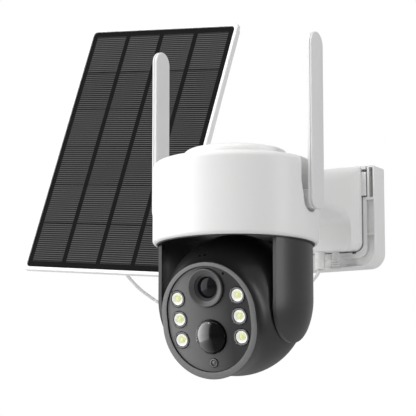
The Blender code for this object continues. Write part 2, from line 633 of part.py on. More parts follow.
# Mounting arm: flares from the shell's back to the flange in the bracket.
def build_arm():
    flange_back = WALL_REACH - BRACKET_BACK - 0.0034
    flange_front = flange_back - FLANGE_DEPTH
    stations = [  # distance from the axis, half width, bottom, top, lower and upper corner radius
        (0.0480, 0.0240, 0.0355, 0.0500, 0.0050, 0.0060),
        (0.0620, 0.0240, 0.0355, 0.0555, 0.0050, 0.0080),
        (0.0840, 0.0240, 0.0352, 0.0623, 0.0060, 0.0090),
        (0.1080, 0.0240, 0.0349, 0.0666, 0.0060, 0.0090),
        (0.1240, 0.0242, 0.0324, 0.0696, 0.0060, 0.0075),
        (0.1280, 0.0244, 0.0270, 0.0703, 0.0060, 0.0070),
        (0.1298, 0.0245, BLOCK_BOTTOM, 0.0707, 0.0060, 0.0066),
        (0.1390, 0.0256, BLOCK_BOTTOM, 0.0726, 0.0060, 0.0040),
        (flange_front, 0.0262, 0.0118, 0.0732, 0.0060, 0.0030),
    ]
    shape = bmesh.new()
    loops = []
    for along, half, bottom, top, low_round, top_round in stations:
        outline = rounded_outline(half, bottom, top, low_round, top_round, 4)
        loops.append([shape.verts.new((x, along, z)) for x, z in outline])
    for first, second in zip(loops, loops[1:]):
        count = len(first)
        for i in range(count):
            j = (i + 1) % count
            shape.faces.new((first[i], first[j], second[j], second[i]))
    shape.faces.new(loops[0])
    shape.faces.new(loops[-1])
    arm = add_object("mount_arm", finish_bmesh("mount_arm", shape), white, camera)
    flange = rounded_outline(FLANGE_HALF_WIDTH, FLANGE_BOTTOM + GAP, 0.0732, 0.0060, 0.0015)
    cut(arm, "arm_flange", prism_mesh("arm_flange", flange, flange_front - 0.0010, flange_back),
        "UNION")
    cut(arm, "shell_clearance", rod_mesh("shell_clearance", SHELL_RADIUS + GAP, -0.01, 0.10,
                                         segments=40))
    return arm


build_arm()

# Cable gland: a boss under the arm's foot, and a ribbed grommet beside it.
def build_gland():
    profile = [(CABLE_RADIUS + 0.0006, GLAND_FOOT), (GLAND_RADIUS - 0.0006, GLAND_FOOT),
               (GLAND_RADIUS, GLAND_FOOT + 0.0006), (GLAND_RADIUS, GLAND_TOP),
               (CABLE_RADIUS + 0.0006, GLAND_TOP)]
    add_object("cable_gland", turned_mesh("cable_gland", profile, 24, "Z",
                                          (GLAND_X, GLAND_Y, 0)), white, camera)
    plug = [(0, GLAND_TOP), (0.0026, GLAND_TOP), (0.0030, 0.0040), (0.0036, 0.0036),
            (0.0036, 0.0020), (0.0033, 0.0016), (0.0042, -0.0010), (0, -0.0010)]
    add_object("spare_port_plug", turned_mesh("spare_port_plug", plug, 20, "Z",
                                              (PLUG_X, PLUG_Y, 0)), rubber, camera)


build_gland()

# Solar panel on its wall stem. The stem's fork lets the block swivel on an upright bolt, and the
# hub on the panel's back tilts on a level bolt through the same block.
pivot = make_empty("panel_swivel_axis", PANEL_PIVOT)
pivot.rotation_euler = (0, 0, PANEL_TURN)
pivot.location = PANEL_PIVOT + Matrix.Rotation(PANEL_TURN, 3, "Z") @ Vector((0, SWIVEL_SETBACK, 0))
lean = make_empty("panel_tilt_axis", (0, -SWIVEL_SETBACK, 0), pivot)
lean.rotation_euler = (PANEL_LEAN, 0, 0)
rolled = make_empty("panel_roll", (0, 0, 0), lean)
rolled.rotation_euler = (0, PANEL_ROLL, 0)
stem_datum = make_empty("panel_stem_datum", (pivot.location.x, 0, pivot.location.z))
stem_reach = pivot.location.y


def build_stem():
    """Round wall plate, stem and fork, in one moulding."""
    base = turned_mesh("panel_stem", [(0, -0.0055), (0.0105, -0.0055), (0.0125, -0.0040),
                                      (0.0215, -0.0040), (0.0230, -0.0025), (0.0230, 0), (0, 0)],
                       28, "Y")
    stem = add_object("panel_stem", base, white, stem_datum)
    fork_back = stem_reach + 0.0100
    cut(stem, "stem_bar", rod_mesh("stem_bar", 0.0072, fork_back - 0.0010, -0.0030, "Y",
                                   segments=24), "UNION")
    block = box_mesh("fork_block", (-BLOCK_HALF_WIDTH, stem_reach - 0.0070, -0.0118),
                     (BLOCK_HALF_WIDTH, stem_reach + 0.0150, 0.0118), 0.0015)
    cut(stem, "fork_block", block, "UNION")
    half_gap = BLOCK_HALF_WIDTH + GAP
    cut(stem, "fork_gap", box_mesh("fork_gap", (-0.02, stem_reach - 0.02, -half_gap),
                                   (0.02, fork_back, half_gap)))
    cut(stem, "fork_bore", rod_mesh("fork_bore", BRACKET_PIN_RADIUS + 0.0002, -0.03, 0.03, "Z",
                                    (0, stem_reach, 0), 16))
    for side, label in ((1, "upper"), (-1, "lower")):
        place = (0, 0, side * 0.0175)
        cut(stem, label + "_stem_hole", rod_mesh(label + "_stem_hole", 0.0022, -0.01, 0.01, "Y",
                                                 place, 16))
        name = label + "_stem_screw"
        profile = [(0, -0.0062), (0.0026, -0.0062), (0.0036, -0.0052), (0.0036, -0.0043),
                   (0.0018, -0.0043), (0.0018, -0.0006), (0, -0.0006)]
        add_object(name, turned_mesh(name, profile, 16, "Y", place), steel, stem_datum)


build_stem()
bolt = [(0, -0.0150), (0.0042, -0.0150), (0.0046, -0.0146), (0.0046, -0.0121),
        (BRACKET_PIN_RADIUS, -0.0121), (BRACKET_PIN_RADIUS, 0.0135), (0, 0.0135)]
add_object("swivel_bolt", turned_mesh("swivel_bolt", [(r, -z) for r, z in bolt][::-1], 20, "Z",
                                      (0, stem_reach, 0)), steel, stem_datum)
block_low = (-BLOCK_HALF_WIDTH, -SWIVEL_SETBACK - 0.0070, -BLOCK_HALF_WIDTH)
block_high = (BLOCK_HALF_WIDTH, 0.0070, BLOCK_HALF_WIDTH)
block = add_object("swivel_block", box_mesh("swivel_block", block_low, block_high, 0.0020), white,
                   pivot)
cut(block, "block_upright_bore", rod_mesh("block_upright_bore", BRACKET_PIN_RADIUS + 0.0002,
                                          -0.02, 0.02, segments=16))
cut(block, "block_level_bore", rod_mesh("block_level_bore", BRACKET_PIN_RADIUS + 0.0002, -0.02,
                                        0.02, "X", (0, -SWIVEL_SETBACK, 0), 16))
hub = add_object("panel_hub", box_mesh("panel_hub", (-0.0210, -0.0145, -0.0210),
                                       (0.0210, -0.0115, 0.0210), 0.0010, 1), white, lean)
for side, label in ((1, "right"), (-1, "left")):
    ear = [(-0.0120, -0.0070), (-0.0120, 0.0070)] + list(arc((0, 0), 0.0070, 90, -90, 10))
    ends = sorted((side * (BLOCK_HALF_WIDTH + GAP), side * (BLOCK_HALF_WIDTH + LUG_THICKNESS)))
    cut(hub, label + "_ear", prism_mesh(label + "_ear", ear, *ends, "X"), "UNION")
cut(hub, "ear_bore", rod_mesh("ear_bore", BRACKET_PIN_RADIUS + 0.0002, -0.03, 0.03, "X",
                              segments=16))
add_object("tilt_bolt", turned_mesh("tilt_bolt", [(r, -z) for r, z in bolt][::-1], 20, "X"),
           steel, lean)

# Panel: a white tray with a raised lip, the laminate of cells, and the junction box behind.
panel_back = -0.0145 - GAP
tray_front = -PANEL_FACE - 0.0006


def panel_rectangle(inset):
    return rounded_outline(PANEL_WIDTH / 2 - inset, -PANEL_HEIGHT / 2 + inset,
                           PANEL_HEIGHT / 2 - inset, PANEL_CORNER, PANEL_CORNER, 3)


frame = add_object("panel_frame", prism_mesh("panel_frame", panel_rectangle(0), tray_front,
                                             panel_back), white, rolled)
cut(frame, "frame_recess", prism_mesh("frame_recess", panel_rectangle(PANEL_BORDER),
                                      tray_front - 0.002, -PANEL_FACE + 0.0032))
cut(frame, "frame_step", prism_mesh("frame_step", panel_rectangle(-0.002), -PANEL_FACE + 0.0034,
                                    panel_back + 0.002))
cut(frame, "frame_tub", prism_mesh("frame_tub", panel_rectangle(0.0016), -PANEL_FACE + 0.0030,
                                   panel_back), "UNION")
add_object("panel_laminate", prism_mesh("panel_laminate", panel_rectangle(PANEL_BORDER + GAP),
                                        -PANEL_FACE, -PANEL_FACE + 0.0028), cells, rolled)
add_object("junction_box", box_mesh("junction_box", (-0.0180, -0.0145, -0.0640),
                                    (0.0180, -0.0040, -0.0340), 0.0020), black, rolled)
add_object("cable_outlet", rod_mesh("cable_outlet", 0.0034, -0.0030, 0.0, "Z",
                                    (0, -0.0090, -0.0643), 20, 0.0006), rubber, rolled)


def smooth_route(points, steps):
    """Points on a smooth curve through the route's own points."""
    route = [Vector(point) for point in points]
    route = [2 * route[0] - route[1]] + route + [2 * route[-1] - route[-2]]
    for before, start, end, after in zip(route, route[1:], route[2:], route[3:]):
        for step in range(steps):
            t = step / steps
            yield 0.5 * ((2 * start) + (end - before) * t
                         + (2 * before - 5 * start + 4 * end - after) * t ** 2
                         + (3 * start - before - 3 * end + after) * t ** 3)
    yield route[-2]


def build_cable(name, points, steps):
    curve = bpy.data.curves.new(name, "CURVE")
    curve.dimensions = "3D"
    spline = curve.splines.new("POLY")
    route = list(smooth_route(points, steps))
    spline.points.add(len(route) - 1)
    for target, point in zip(spline.points, route):
        target.co = (*point, 1.0)
    curve.bevel_depth = CABLE_RADIUS
    curve.bevel_resolution = 2
    curve.use_fill_caps = True
    cable = bpy.data.objects.new(name, curve)
    bpy.context.collection.objects.link(cable)
    curve.materials.append(cable_white)
    return cable


# One cable in two runs that meet on the swivel's upright axis: a lead that hangs from the
# junction box, and the long run from there to the gland under the arm.
lead_route = [
    (-0.1393, -0.0885, -0.0136), (-0.1399, -0.0873, -0.0190), (-0.1408, -0.0833, -0.0270),
    (-0.1407, -0.0765, -0.0350), (-0.1386, -0.0697, -0.0420), (-0.1344, -0.0605, -0.0497),
    (-0.1301, -0.0493, -0.0557),
]
cable_route = [
    (-0.1297, -0.0482, -0.0562), (-0.1262, -0.0462, -0.0588), (-0.1195, -0.0440, -0.0626),
    (-0.1082, -0.0415, -0.0671), (-0.0940, -0.0395, -0.0706), (-0.0800, -0.0385, -0.0723),
    (-0.0654, -0.0378, -0.0726), (-0.0516, -0.0374, -0.0714), (-0.0376, -0.0361, -0.0678),
    (-0.0247, -0.0342, -0.0621), (-0.0153, -0.0321, -0.0547), (-0.0090, -0.0305, -0.0475),
    (-0.0050, -0.0293, -0.0425), (-0.0033, -0.0287, -0.0389),
]
build_cable("cable_lead", lead_route, 2)
build_cable("solar_cable", cable_route, 2)
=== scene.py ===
"""Solar-powered pan and tilt camera on its wall bracket, with its solar panel and their cable."""

import json
import math

import bmesh
import bpy
import numpy as np
from mathutils import Matrix, Vector


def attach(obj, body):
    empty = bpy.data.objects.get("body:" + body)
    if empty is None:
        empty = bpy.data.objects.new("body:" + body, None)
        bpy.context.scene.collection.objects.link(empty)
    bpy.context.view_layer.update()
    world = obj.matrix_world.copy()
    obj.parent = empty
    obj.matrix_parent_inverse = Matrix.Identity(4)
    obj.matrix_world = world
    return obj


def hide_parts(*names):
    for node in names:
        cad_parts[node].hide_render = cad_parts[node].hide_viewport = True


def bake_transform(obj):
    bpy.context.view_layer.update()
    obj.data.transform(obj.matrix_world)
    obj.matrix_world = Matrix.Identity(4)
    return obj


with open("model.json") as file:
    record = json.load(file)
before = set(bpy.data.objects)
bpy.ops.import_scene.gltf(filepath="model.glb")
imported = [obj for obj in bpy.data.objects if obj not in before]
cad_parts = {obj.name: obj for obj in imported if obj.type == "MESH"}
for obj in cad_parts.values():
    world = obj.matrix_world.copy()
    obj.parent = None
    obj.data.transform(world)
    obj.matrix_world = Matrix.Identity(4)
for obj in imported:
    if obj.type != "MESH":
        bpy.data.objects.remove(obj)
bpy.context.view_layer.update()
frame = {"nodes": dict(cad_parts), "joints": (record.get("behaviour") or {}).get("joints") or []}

# Studio: a pale floor well below the camera, one very broad soft light on the left, weaker ones on
# the right and above, a small one for the lens to mirror, and a white surround that gives less
# light on the right. The wall that everything hangs on is left out.
scene = bpy.context.scene
scene.view_settings.view_transform = "Standard"
AIM = Vector((-0.0141, -0.1744, -0.0129))
VIEW_TURN, VIEW_RISE, VIEW_REACH = 29.3, 9.11, 1.2229
camera = bpy.data.objects.new("viewpoint", bpy.data.cameras.new("viewpoint"))
camera.data.lens = 160.1
camera.data.sensor_width = 36.0
camera.rotation_euler = (math.radians(90 + VIEW_RISE), 0, math.radians(VIEW_TURN))
back = Vector((0, 0, 1))
back.rotate(camera.rotation_euler)
camera.location = AIM + back * VIEW_REACH
scene.collection.objects.link(camera)
scene.camera = camera


def softbox(name, turn, rise, reach, size, power):
    """A lamp of this size that faces the object from one direction, in degrees."""
    data = bpy.data.lights.new(name, "AREA")
    data.shape = "RECTANGLE"
    data.size, data.size_y = size
    data.energy = power
    lamp = bpy.data.objects.new(name, data)
    a, e = math.radians(turn), math.radians(rise)
    away = Vector((math.sin(a) * math.cos(e), -math.cos(a) * math.cos(e), math.sin(e)))
    lamp.location = AIM + away * reach
    lamp.rotation_euler = away.to_track_quat("Z", "Y").to_euler()
    scene.collection.objects.link(lamp)


softbox("key_light", -50, 14, 1.5, (1.7, 2.4), 31.5)
softbox("side_light", 94, 10, 1.6, (0.45, 1.4), 8.4)
softbox("top_light", 10, 78, 1.5, (1.0, 1.0), 8.0)
softbox("window_light", -36, 44, 1.4, (0.16, 0.22), 1.6)

world = bpy.data.worlds.new("studio")
world.use_nodes = True
sky = world.node_tree.nodes["Background"]
sky.inputs["Color"].default_value = (1, 1, 1, 1)
heading = world.node_tree.nodes.new("ShaderNodeTexCoord")
parts = world.node_tree.nodes.new("ShaderNodeSeparateXYZ")
world.node_tree.links.new(heading.outputs["Generated"], parts.inputs[0])
fall = world.node_tree.nodes.new("ShaderNodeMapRange")
fall.inputs["From Min"].default_value = -1.0
fall.inputs["To Min"].default_value = 0.60
fall.inputs["To Max"].default_value = 0.33
world.node_tree.links.new(parts.outputs["X"], fall.inputs["Value"])
world.node_tree.links.new(fall.outputs["Result"], sky.inputs["Strength"])
seen_sky = world.node_tree.nodes.new("ShaderNodeBackground")
seen_sky.inputs["Color"].default_value = (1, 1, 1, 1)
ray = world.node_tree.nodes.new("ShaderNodeLightPath")
either = world.node_tree.nodes.new("ShaderNodeMixShader")
world.node_tree.links.new(ray.outputs["Is Camera Ray"], either.inputs["Fac"])
world.node_tree.links.new(sky.outputs["Background"], either.inputs[1])
world.node_tree.links.new(seen_sky.outputs["Background"], either.inputs[2])
world.node_tree.links.new(either.outputs["Shader"],
                          world.node_tree.nodes["World Output"].inputs["Surface"])
scene.world = world

floor_mesh = bpy.data.meshes.new("floor")
shape = bmesh.new()
bmesh.ops.create_grid(shape, x_segments=1, y_segments=1, size=8.0)
bmesh.ops.translate(shape, vec=(0, 0, -0.80), verts=shape.verts)
shape.to_mesh(floor_mesh)
shape.free()
floor = bpy.data.objects.new("floor", floor_mesh)
scene.collection.objects.link(floor)


# Finishes: every material is made by a Finish, and a Signal is a value inside it, so that the
# sums between nodes read as sums.
class Signal:
    """One output of a node. Arithmetic on it adds the Math nodes."""

    def __init__(self, finish, socket):
        self.finish = finish
        self.socket = socket

    def sum(self, operation, *values):
        node = self.finish.node("Math", {"operation": operation})
        for socket, value in zip(node.inputs, values):
            self.finish.plug(socket, value)
        return Signal(self.finish, node.outputs[0])

    def __add__(self, other):
        return self.sum("ADD", self, other)

    def __sub__(self, other):
        return self.sum("SUBTRACT", self, other)

    def __rsub__(self, other):
        return self.sum("SUBTRACT", other, self)

    def __mul__(self, other):
        return self.sum("MULTIPLY", self, other)

    def __truediv__(self, other):
        return self.sum("DIVIDE", self, other)

    def __lt__(self, other):
        return self.sum("LESS_THAN", self, other)

    def __abs__(self):
        return self.sum("ABSOLUTE", self)

    def fraction(self):
        return self.sum("FRACT", self)

    def parts(self):
        """The X, Y and Z of a point."""
        node = self.finish.node("SeparateXYZ", Vector=self)
        return [Signal(self.finish, output) for output in node.outputs]

    __radd__ = __add__
    __rmul__ = __mul__


class Finish:
    """A material on one Principled shader, whose nodes all come from the node method."""

    def __init__(self, name, **sockets):
        self.material = bpy.data.materials.new(name)
        self.material.use_nodes = True
        self.tree = self.material.node_tree
        self.shader = self.tree.nodes["Principled BSDF"]
        self.set(**sockets)

    def set(self, **sockets):
        for name, value in sockets.items():
            self.plug(self.shader.inputs[name.replace("_", " ")], value)
        return self

    def plug(self, socket, value):
        if isinstance(value, Signal):
            self.tree.links.new(value.socket, socket)
        elif isinstance(value, tuple) and len(socket.default_value) == 4:
            socket.default_value = (*value, 1.0)
        else:
            socket.default_value = value

    def node(self, kind, settings=None, **sockets):
        node = self.tree.nodes.new("ShaderNode" + kind)
        for name, value in (settings or {}).items():
            setattr(node, name, value)
        for name, value in sockets.items():
            self.plug(node.inputs[name.replace("_", " ")], value)
        return node

    def place(self, matrix=None):
        """The point on the object, or where it lies in the frame of matrix."""
        point = Signal(self, self.node("TexCoord").outputs["Object"])
        if matrix is None:
            return point
        shift, turn, size = matrix.inverted().decompose()
        turned = self.node("Mapping", Vector=point, Location=tuple(shift),
                           Rotation=tuple(turn.to_euler("XYZ")), Scale=tuple(size))
        return Signal(self, turned.outputs["Vector"])

    def noise(self, size, detail=2.0, point=None):
        """Noise from 0 to 1 whose spots are about this size, in metres."""
        made = self.node("TexNoise", Vector=point or self.place(), Scale=1 / size, Detail=detail)
        return Signal(self, made.outputs[0])

    def mix(self, factor, first, second):
        node = self.node("Mix", {"data_type": "RGBA"})
        for index, value in ((0, factor), (6, first), (7, second)):
            self.plug(node.inputs[index], value)
        return Signal(self, node.outputs[2])

    def bump(self, height, distance, strength=1.0):
        made = self.node("Bump", Height=height, Distance=distance, Strength=strength)
        return self.set(Normal=Signal(self, made.outputs["Normal"]))


def moulded(name, colour, roughness, grain=0.00045, depth=0.00004, mottle=0.03, **sockets):
    """Injection-moulded plastic: a fine spark-eroded grain, and faint flow marks in its gloss."""
    finish = Finish(name, **sockets)
    flow = finish.noise(0.02, 3.0)
    fine = finish.noise(grain, 1.0)
    darker = tuple(channel * (1 - mottle) for channel in colour)
    finish.set(Base_Color=finish.mix(flow, darker, colour),
               Roughness=roughness + 0.06 * (flow - 0.5) + 0.05 * (fine - 0.5))
    return finish.bump(fine, depth, 0.5)


def plated(name, colour, roughness, grain=0.0003):
    """Metal with the fine scratches of barrel plating, and a little dullness between them."""
    finish = Finish(name, Metallic=1.0)
    point = finish.node("Mapping", Vector=finish.place(), Scale=(1.0, 1.0, 0.15)).outputs["Vector"]
    scratch = finish.noise(grain, 3.0, Signal(finish, point))
    cloud = finish.noise(0.006, 2.0)
    finish.set(Base_Color=finish.mix(cloud, tuple(channel * 0.85 for channel in colour), colour),
               Roughness=roughness + 0.15 * scratch)
    return finish.bump(scratch, 0.00002, 0.3)


floor_paper = Finish("floor_paper", Specular_IOR_Level=0.2, Roughness=0.9)
floor_paper.set(Base_Color=floor_paper.mix(floor_paper.noise(0.3), (0.66, 0.66, 0.66),
                                           (0.70, 0.70, 0.70)))
floor_mesh.materials.append(floor_paper.material)

# Wall bracket: a white moulded tray, open at the top, screwed to the wall. A channel runs round
# its rim for stiffness. From here on, sizes are in millimetres from the middle of the drum's rim,
# which is on the pan axis and above the tilt axis.
joints = {joint["name"]: joint for joint in frame["joints"]}
tilt_point = Vector(joints["tilt"]["pos_m"])
TILT_HEIGHT = -40.0
WALL = -tilt_point.y * 1000
camera_frame = (Matrix.Translation(tilt_point) @ Matrix.Scale(0.001, 4)
                @ Matrix.Translation((0, 0, -TILT_HEIGHT)))


def spun(degrees, axis):
    """A turn about one axis."""
    return Matrix.Rotation(math.radians(degrees), 4, axis)


def arc(across, up, radius, start, end, steps=8):
    """Points on an arc about (across, up), with its angles in degrees."""
    turns = np.radians(np.linspace(start, end, steps + 1))
    return [(across + radius * math.cos(turn), up + radius * math.sin(turn)) for turn in turns]


def rectangle(half, bottom, top, low_round, top_round, steps=8):
    """The outline of a rectangle with round corners."""
    return (arc(half - low_round, bottom + low_round, low_round, -90, 0, steps)
            + arc(half - top_round, top - top_round, top_round, 0, 90, steps)
            + arc(top_round - half, top - top_round, top_round, 90, 180, steps)
            + arc(low_round - half, bottom + low_round, low_round, 180, 270, steps))


def tidy(shape):
    bmesh.ops.remove_doubles(shape, verts=shape.verts, dist=1e-4)
    bmesh.ops.dissolve_degenerate(shape, edges=shape.edges, dist=1e-5)
    bmesh.ops.recalc_face_normals(shape, faces=shape.faces)
    return shape


def loft(rings, closed=False):
    """A skin over rings of points, capped at both ends, or joined from the last to the first."""
    shape = bmesh.new()
    loops = [[shape.verts.new(point) for point in ring] for ring in rings]
    pairs = list(zip(loops, loops[1:]))
    if closed:
        pairs.append((loops[-1], loops[0]))
    else:
        shape.faces.new(loops[0])
        shape.faces.new(loops[-1])
    for first, second in pairs:
        for i in range(len(first)):
            shape.faces.new((first[i - 1], first[i], second[i], second[i - 1]))
    return tidy(shape)


def prism(outline, start, end, axis="Y"):
    """An outline of (X, Z), (Y, Z) or (X, Y) points, drawn out along the third axis."""
    order = {"X": (2, 0, 1), "Y": (0, 2, 1), "Z": (0, 1, 2)}[axis]
    return loft([[tuple((a, b, along)[i] for i in order) for a, b in outline]
                 for along in (start, end)])


def put(shape, place):
    bmesh.ops.transform(shape, matrix=place, verts=shape.verts)
    return shape


def block(low, high, rounding=0.0, segments=3):
    shape = bmesh.new()
    bmesh.ops.create_cube(shape, size=1.0)
    bmesh.ops.scale(shape, vec=Vector(high) - Vector(low), verts=shape.verts)
    bmesh.ops.translate(shape, vec=(Vector(low) + Vector(high)) / 2, verts=shape.verts)
    if rounding:
        bmesh.ops.bevel(shape, geom=shape.edges, offset=rounding, segments=segments, profile=0.5,
                        affect="EDGES", material=-1)
    return tidy(shape)


def turned(profile, segments=64, place=Matrix()):
    """Turns (radius, height) points about Z. The ends of the profile are joined."""
    shape = bmesh.new()
    points = [shape.verts.new((radius, 0, height)) for radius, height in profile]
    edges = [shape.edges.new(pair) for pair in zip(points, points[1:])]
    if min(profile[0][0], profile[-1][0]) > 0:
        edges.append(shape.edges.new((points[-1], points[0])))
    bmesh.ops.spin(shape, geom=points + edges, cent=(0, 0, 0), axis=(0, 0, 1), angle=math.tau,
                   steps=segments, use_merge=True, use_duplicate=False)
    return tidy(put(shape, place))


def rod(radius, start, end, place=Matrix(), segments=32):
    """A plain round bar along Z, mostly to drill with."""
    return turned([(0, start), (radius, start), (radius, end), (0, end)], segments, place)


def carve(shape, *cutters, operation="DIFFERENCE"):
    """The shape after exact Booleans with the cutters, which it uses up."""
    blanks = []
    for item in (shape, *cutters):
        blank = bpy.data.objects.new("blank", bpy.data.meshes.new("blank"))
        item.to_mesh(blank.data)
        item.free()
        scene.collection.objects.link(blank)
        blanks.append(blank)
    for cutter in blanks[1:]:
        modifier = blanks[0].modifiers.new("carve", "BOOLEAN")
        modifier.operation = operation
        modifier.object = cutter
    carved = bmesh.new()
    carved.from_object(blanks[0], bpy.context.evaluated_depsgraph_get())
    for blank in blanks:
        bpy.data.meshes.remove(blank.data)
    return tidy(carved)


def adopt(name, shape, place, finish, body, nodes=(), angle=35):
    """Sets a shape in place as a piece that rides on a body and stands for its CAD nodes."""
    mesh = bpy.data.meshes.new(name)
    put(shape, place).to_mesh(mesh)
    shape.free()
    mesh.shade_smooth()
    mesh.set_sharp_from_angle(angle=math.radians(angle))
    mesh.materials.append(finish.material)
    piece = bpy.data.objects.new(name, mesh)
    scene.collection.objects.link(piece)
    if body:
        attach(piece, body)
    if nodes:
        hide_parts(*nodes)
    return piece


def soften(piece, width, segments=2, angle=40):
    """Rounds a piece's sharp edges by this many millimetres."""
    modifier = piece.modifiers.new("edges", "BEVEL")
    modifier.width = width / 1000
    modifier.segments = segments
    modifier.limit_method = "ANGLE"
    modifier.angle_limit = math.radians(angle)
    modifier.harden_normals = True
    return piece


shell_white = moulded("shell_white", (0.80, 0.80, 0.795), 0.40)
bracket_front = WALL - 18
bracket = prism(rectangle(36.0, 0.0, 73.8, 11.0, 1.5), bracket_front, WALL)
seat = [(26.9, 50.8), (30.4, 50.8), (30.4, 90.0), (-30.4, 90.0), (-30.4, 50.8), (-26.9, 50.8)]
seat = arc(-20.7, 17.1, 6.2, 180, 270) + arc(20.7, 17.1, 6.2, 270, 360) + seat
bracket = carve(bracket, prism(seat, bracket_front - 9, WALL - 5))
channel = carve(prism(rectangle(35.2, 0.8, 48.5, 10.2, 0.2), bracket_front - 3, bracket_front + 2.6),
                prism(rectangle(29.7, 6.6, 60.0, 7.0, 0.2), bracket_front - 4, bracket_front + 4))
bracket = carve(bracket, channel, block((17.7, bracket_front - 3, 9.7), (21.1, bracket_front + 4, 13)))
for side in (-1, 1):
    ends = sorted((side * 32.0, side * 34.9))
    bracket = carve(bracket, block((ends[0], bracket_front - 3, 50.3), (ends[1], WALL - 7, 72.3)))
    ends = sorted((side * 29.2, side * 35.5))
    bracket = carve(bracket, block((ends[0], bracket_front + 0.5, 23.0),
                                   (ends[1], bracket_front + 3, 24.0)), operation="UNION")
to_room = spun(90, "X")
screws = [Matrix.Translation((x, WALL, z)) @ to_room for x, z in ((-16, 58), (16, 58), (0, 23))]
bracket = carve(bracket, *[rod(2.6, -5, 30, place) for place in screws])
soften(adopt("wall_tray", bracket, camera_frame, shell_white, "wall_mount", ["wall_bracket"]), 0.35)

# Wall screws: zinc-plated pan heads with a cross recess, driven through the tray's back.
zinc = plated("zinc_plate", (0.62, 0.62, 0.63), 0.24)
for number, place in enumerate(screws):
    screw = turned([(0, 0.6), (2.1, 0.6), (2.1, 5.3), (4.2, 5.3), (4.2, 6.4)]
                   + arc(0, 0.9, 7.0, 50, 90, 6), 32, place)
    for wide, tall in ((2.2, 0.5), (0.5, 2.2)):
        screw = carve(screw, put(block((-wide, -tall, 6.6), (wide, tall, 9.0)), place))
    adopt(f"wall_screw_head_{number + 1}", screw, camera_frame, zinc, "wall_mount",
          [f"wall_screw_{number + 1}"])


# Mounting arm: one white moulding that runs from a saddle on the shell, drops into a deep foot, and
# ends in a flange with two ears, which slides down into the tray.
def smooth_route(points, steps=8):
    """Points on a smooth curve through the route's own points."""
    route = [np.array(point, float) for point in points]
    route = [2 * route[0] - route[1]] + route + [2 * route[-1] - route[-2]]
    for before, start, end, after in zip(route, route[1:], route[2:], route[3:]):
        for t in np.arange(steps) / steps:
            yield 0.5 * ((2 * start) + (end - before) * t
                         + (2 * before - 5 * start + 4 * end - after) * t ** 2
                         + (3 * start - before - 3 * end + after) * t ** 3)
    yield route[-2]


# Each station is its distance from the pan axis, then the outline's half width, bottom, top and
# corner radii.
stations = [
    (48.0, 24.0, 35.5, 50.0, 5.0, 6.0), (62.0, 24.0, 35.5, 55.5, 5.0, 9.0),
    (84.0, 24.0, 35.2, 62.3, 6.0, 10.0), (108.0, 24.0, 34.9, 66.6, 6.0, 9.0),
    (118.0, 24.1, 34.3, 68.6, 6.0, 8.0), (124.0, 24.2, 32.4, 69.6, 6.0, 7.5),
    (127.4, 24.3, 28.5, 70.2, 6.0, 7.0), (128.8, 24.4, 21.0, 70.5, 6.0, 6.8),
    (129.8, 24.5, 11.4, 70.7, 6.0, 6.6), (139.0, 25.6, 11.4, 72.6, 6.0, 4.0),
    (141.6, 26.1, 11.6, 73.2, 6.0, 3.0),
]
arm = loft([[(x, station[0], z) for x, z in rectangle(*station[1:])]
            for station in smooth_route(stations, 5)])
flange_back = WALL - 8.4
ears = [(29.5, 51.7), (29.5, 73.1), (-29.5, 73.1), (-29.5, 51.7)]
arm = carve(arm, prism(rectangle(26.0, 11.6, 73.2, 6.0, 1.5), 140.6, flange_back),
            prism(ears, 143.2, flange_back), operation="UNION")
for side in (-1, 1):
    wedge = [(side * 25.5, 51.7), (side * 29.6, 51.7), (side * 29.6, 73.5), (side * 22.0, 73.5),
             (side * 20.9, 63.8)]
    arm = carve(arm, prism(wedge, 142.6, 148.0), operation="UNION")
    ends = sorted((side * 26.0, side * 31.0))
    arm = carve(arm, block((ends[0], 140.0, 69.0), (ends[1], 150.0, 71.0)))
arm = carve(arm, rod(55.3, -10, 90, segments=96))
soften(adopt("arm", arm, camera_frame, shell_white, "wall_mount", ["mount_arm"]),
       0.6)

# Gland: a white boss under the arm's foot where the cable goes in, and beside it a ribbed silicone
# plug in the spare port.
silicone = moulded("silicone", (0.60, 0.60, 0.59), 0.62, grain=0.0009, mottle=0.06)
gland = turned([(1.9, -1.6), (3.2, -1.6), (3.7, -1.0), (3.8, 4.6), (3.5, 4.8), (3.5, 5.4),
                (3.8, 5.6), (3.8, 11.1), (1.9, 11.1)], 48)
adopt("gland_boss", gland, camera_frame @ Matrix.Translation((-2.8, 133.3, 0)), shell_white,
      "wall_mount", ["cable_gland"])
plug = [(0, 11.1), (2.6, 11.1), (2.8, 4.6)]
for rib in range(3):
    plug += [(3.7, 4.2 - rib * 1.7), (3.7, 3.4 - rib * 1.7), (3.1, 3.1 - rib * 1.7)]
plug += [(4.2, -1.0), (0, -1.0)]
adopt("ribbed_plug", turned(plug, 48), camera_frame @ Matrix.Translation((8.5, 136, 0)), silicone,
      "wall_mount", ["spare_port_plug"])

# Upper shell: the white drum, a moulded cup open below. A soft-edged pocket in each side, round
# below, takes an antenna's hub and lets its blade stand close.
HUB_DEPTH = 1.2
HUB_HEIGHT = 26.8


def smooth_most(first, second, blend):
    """The larger of two fields, rounded over where they cross."""
    share = np.clip(0.5 + (first - second) / (2 * blend), 0, 1)
    return second * (1 - share) + first * share + blend * share * (1 - share)


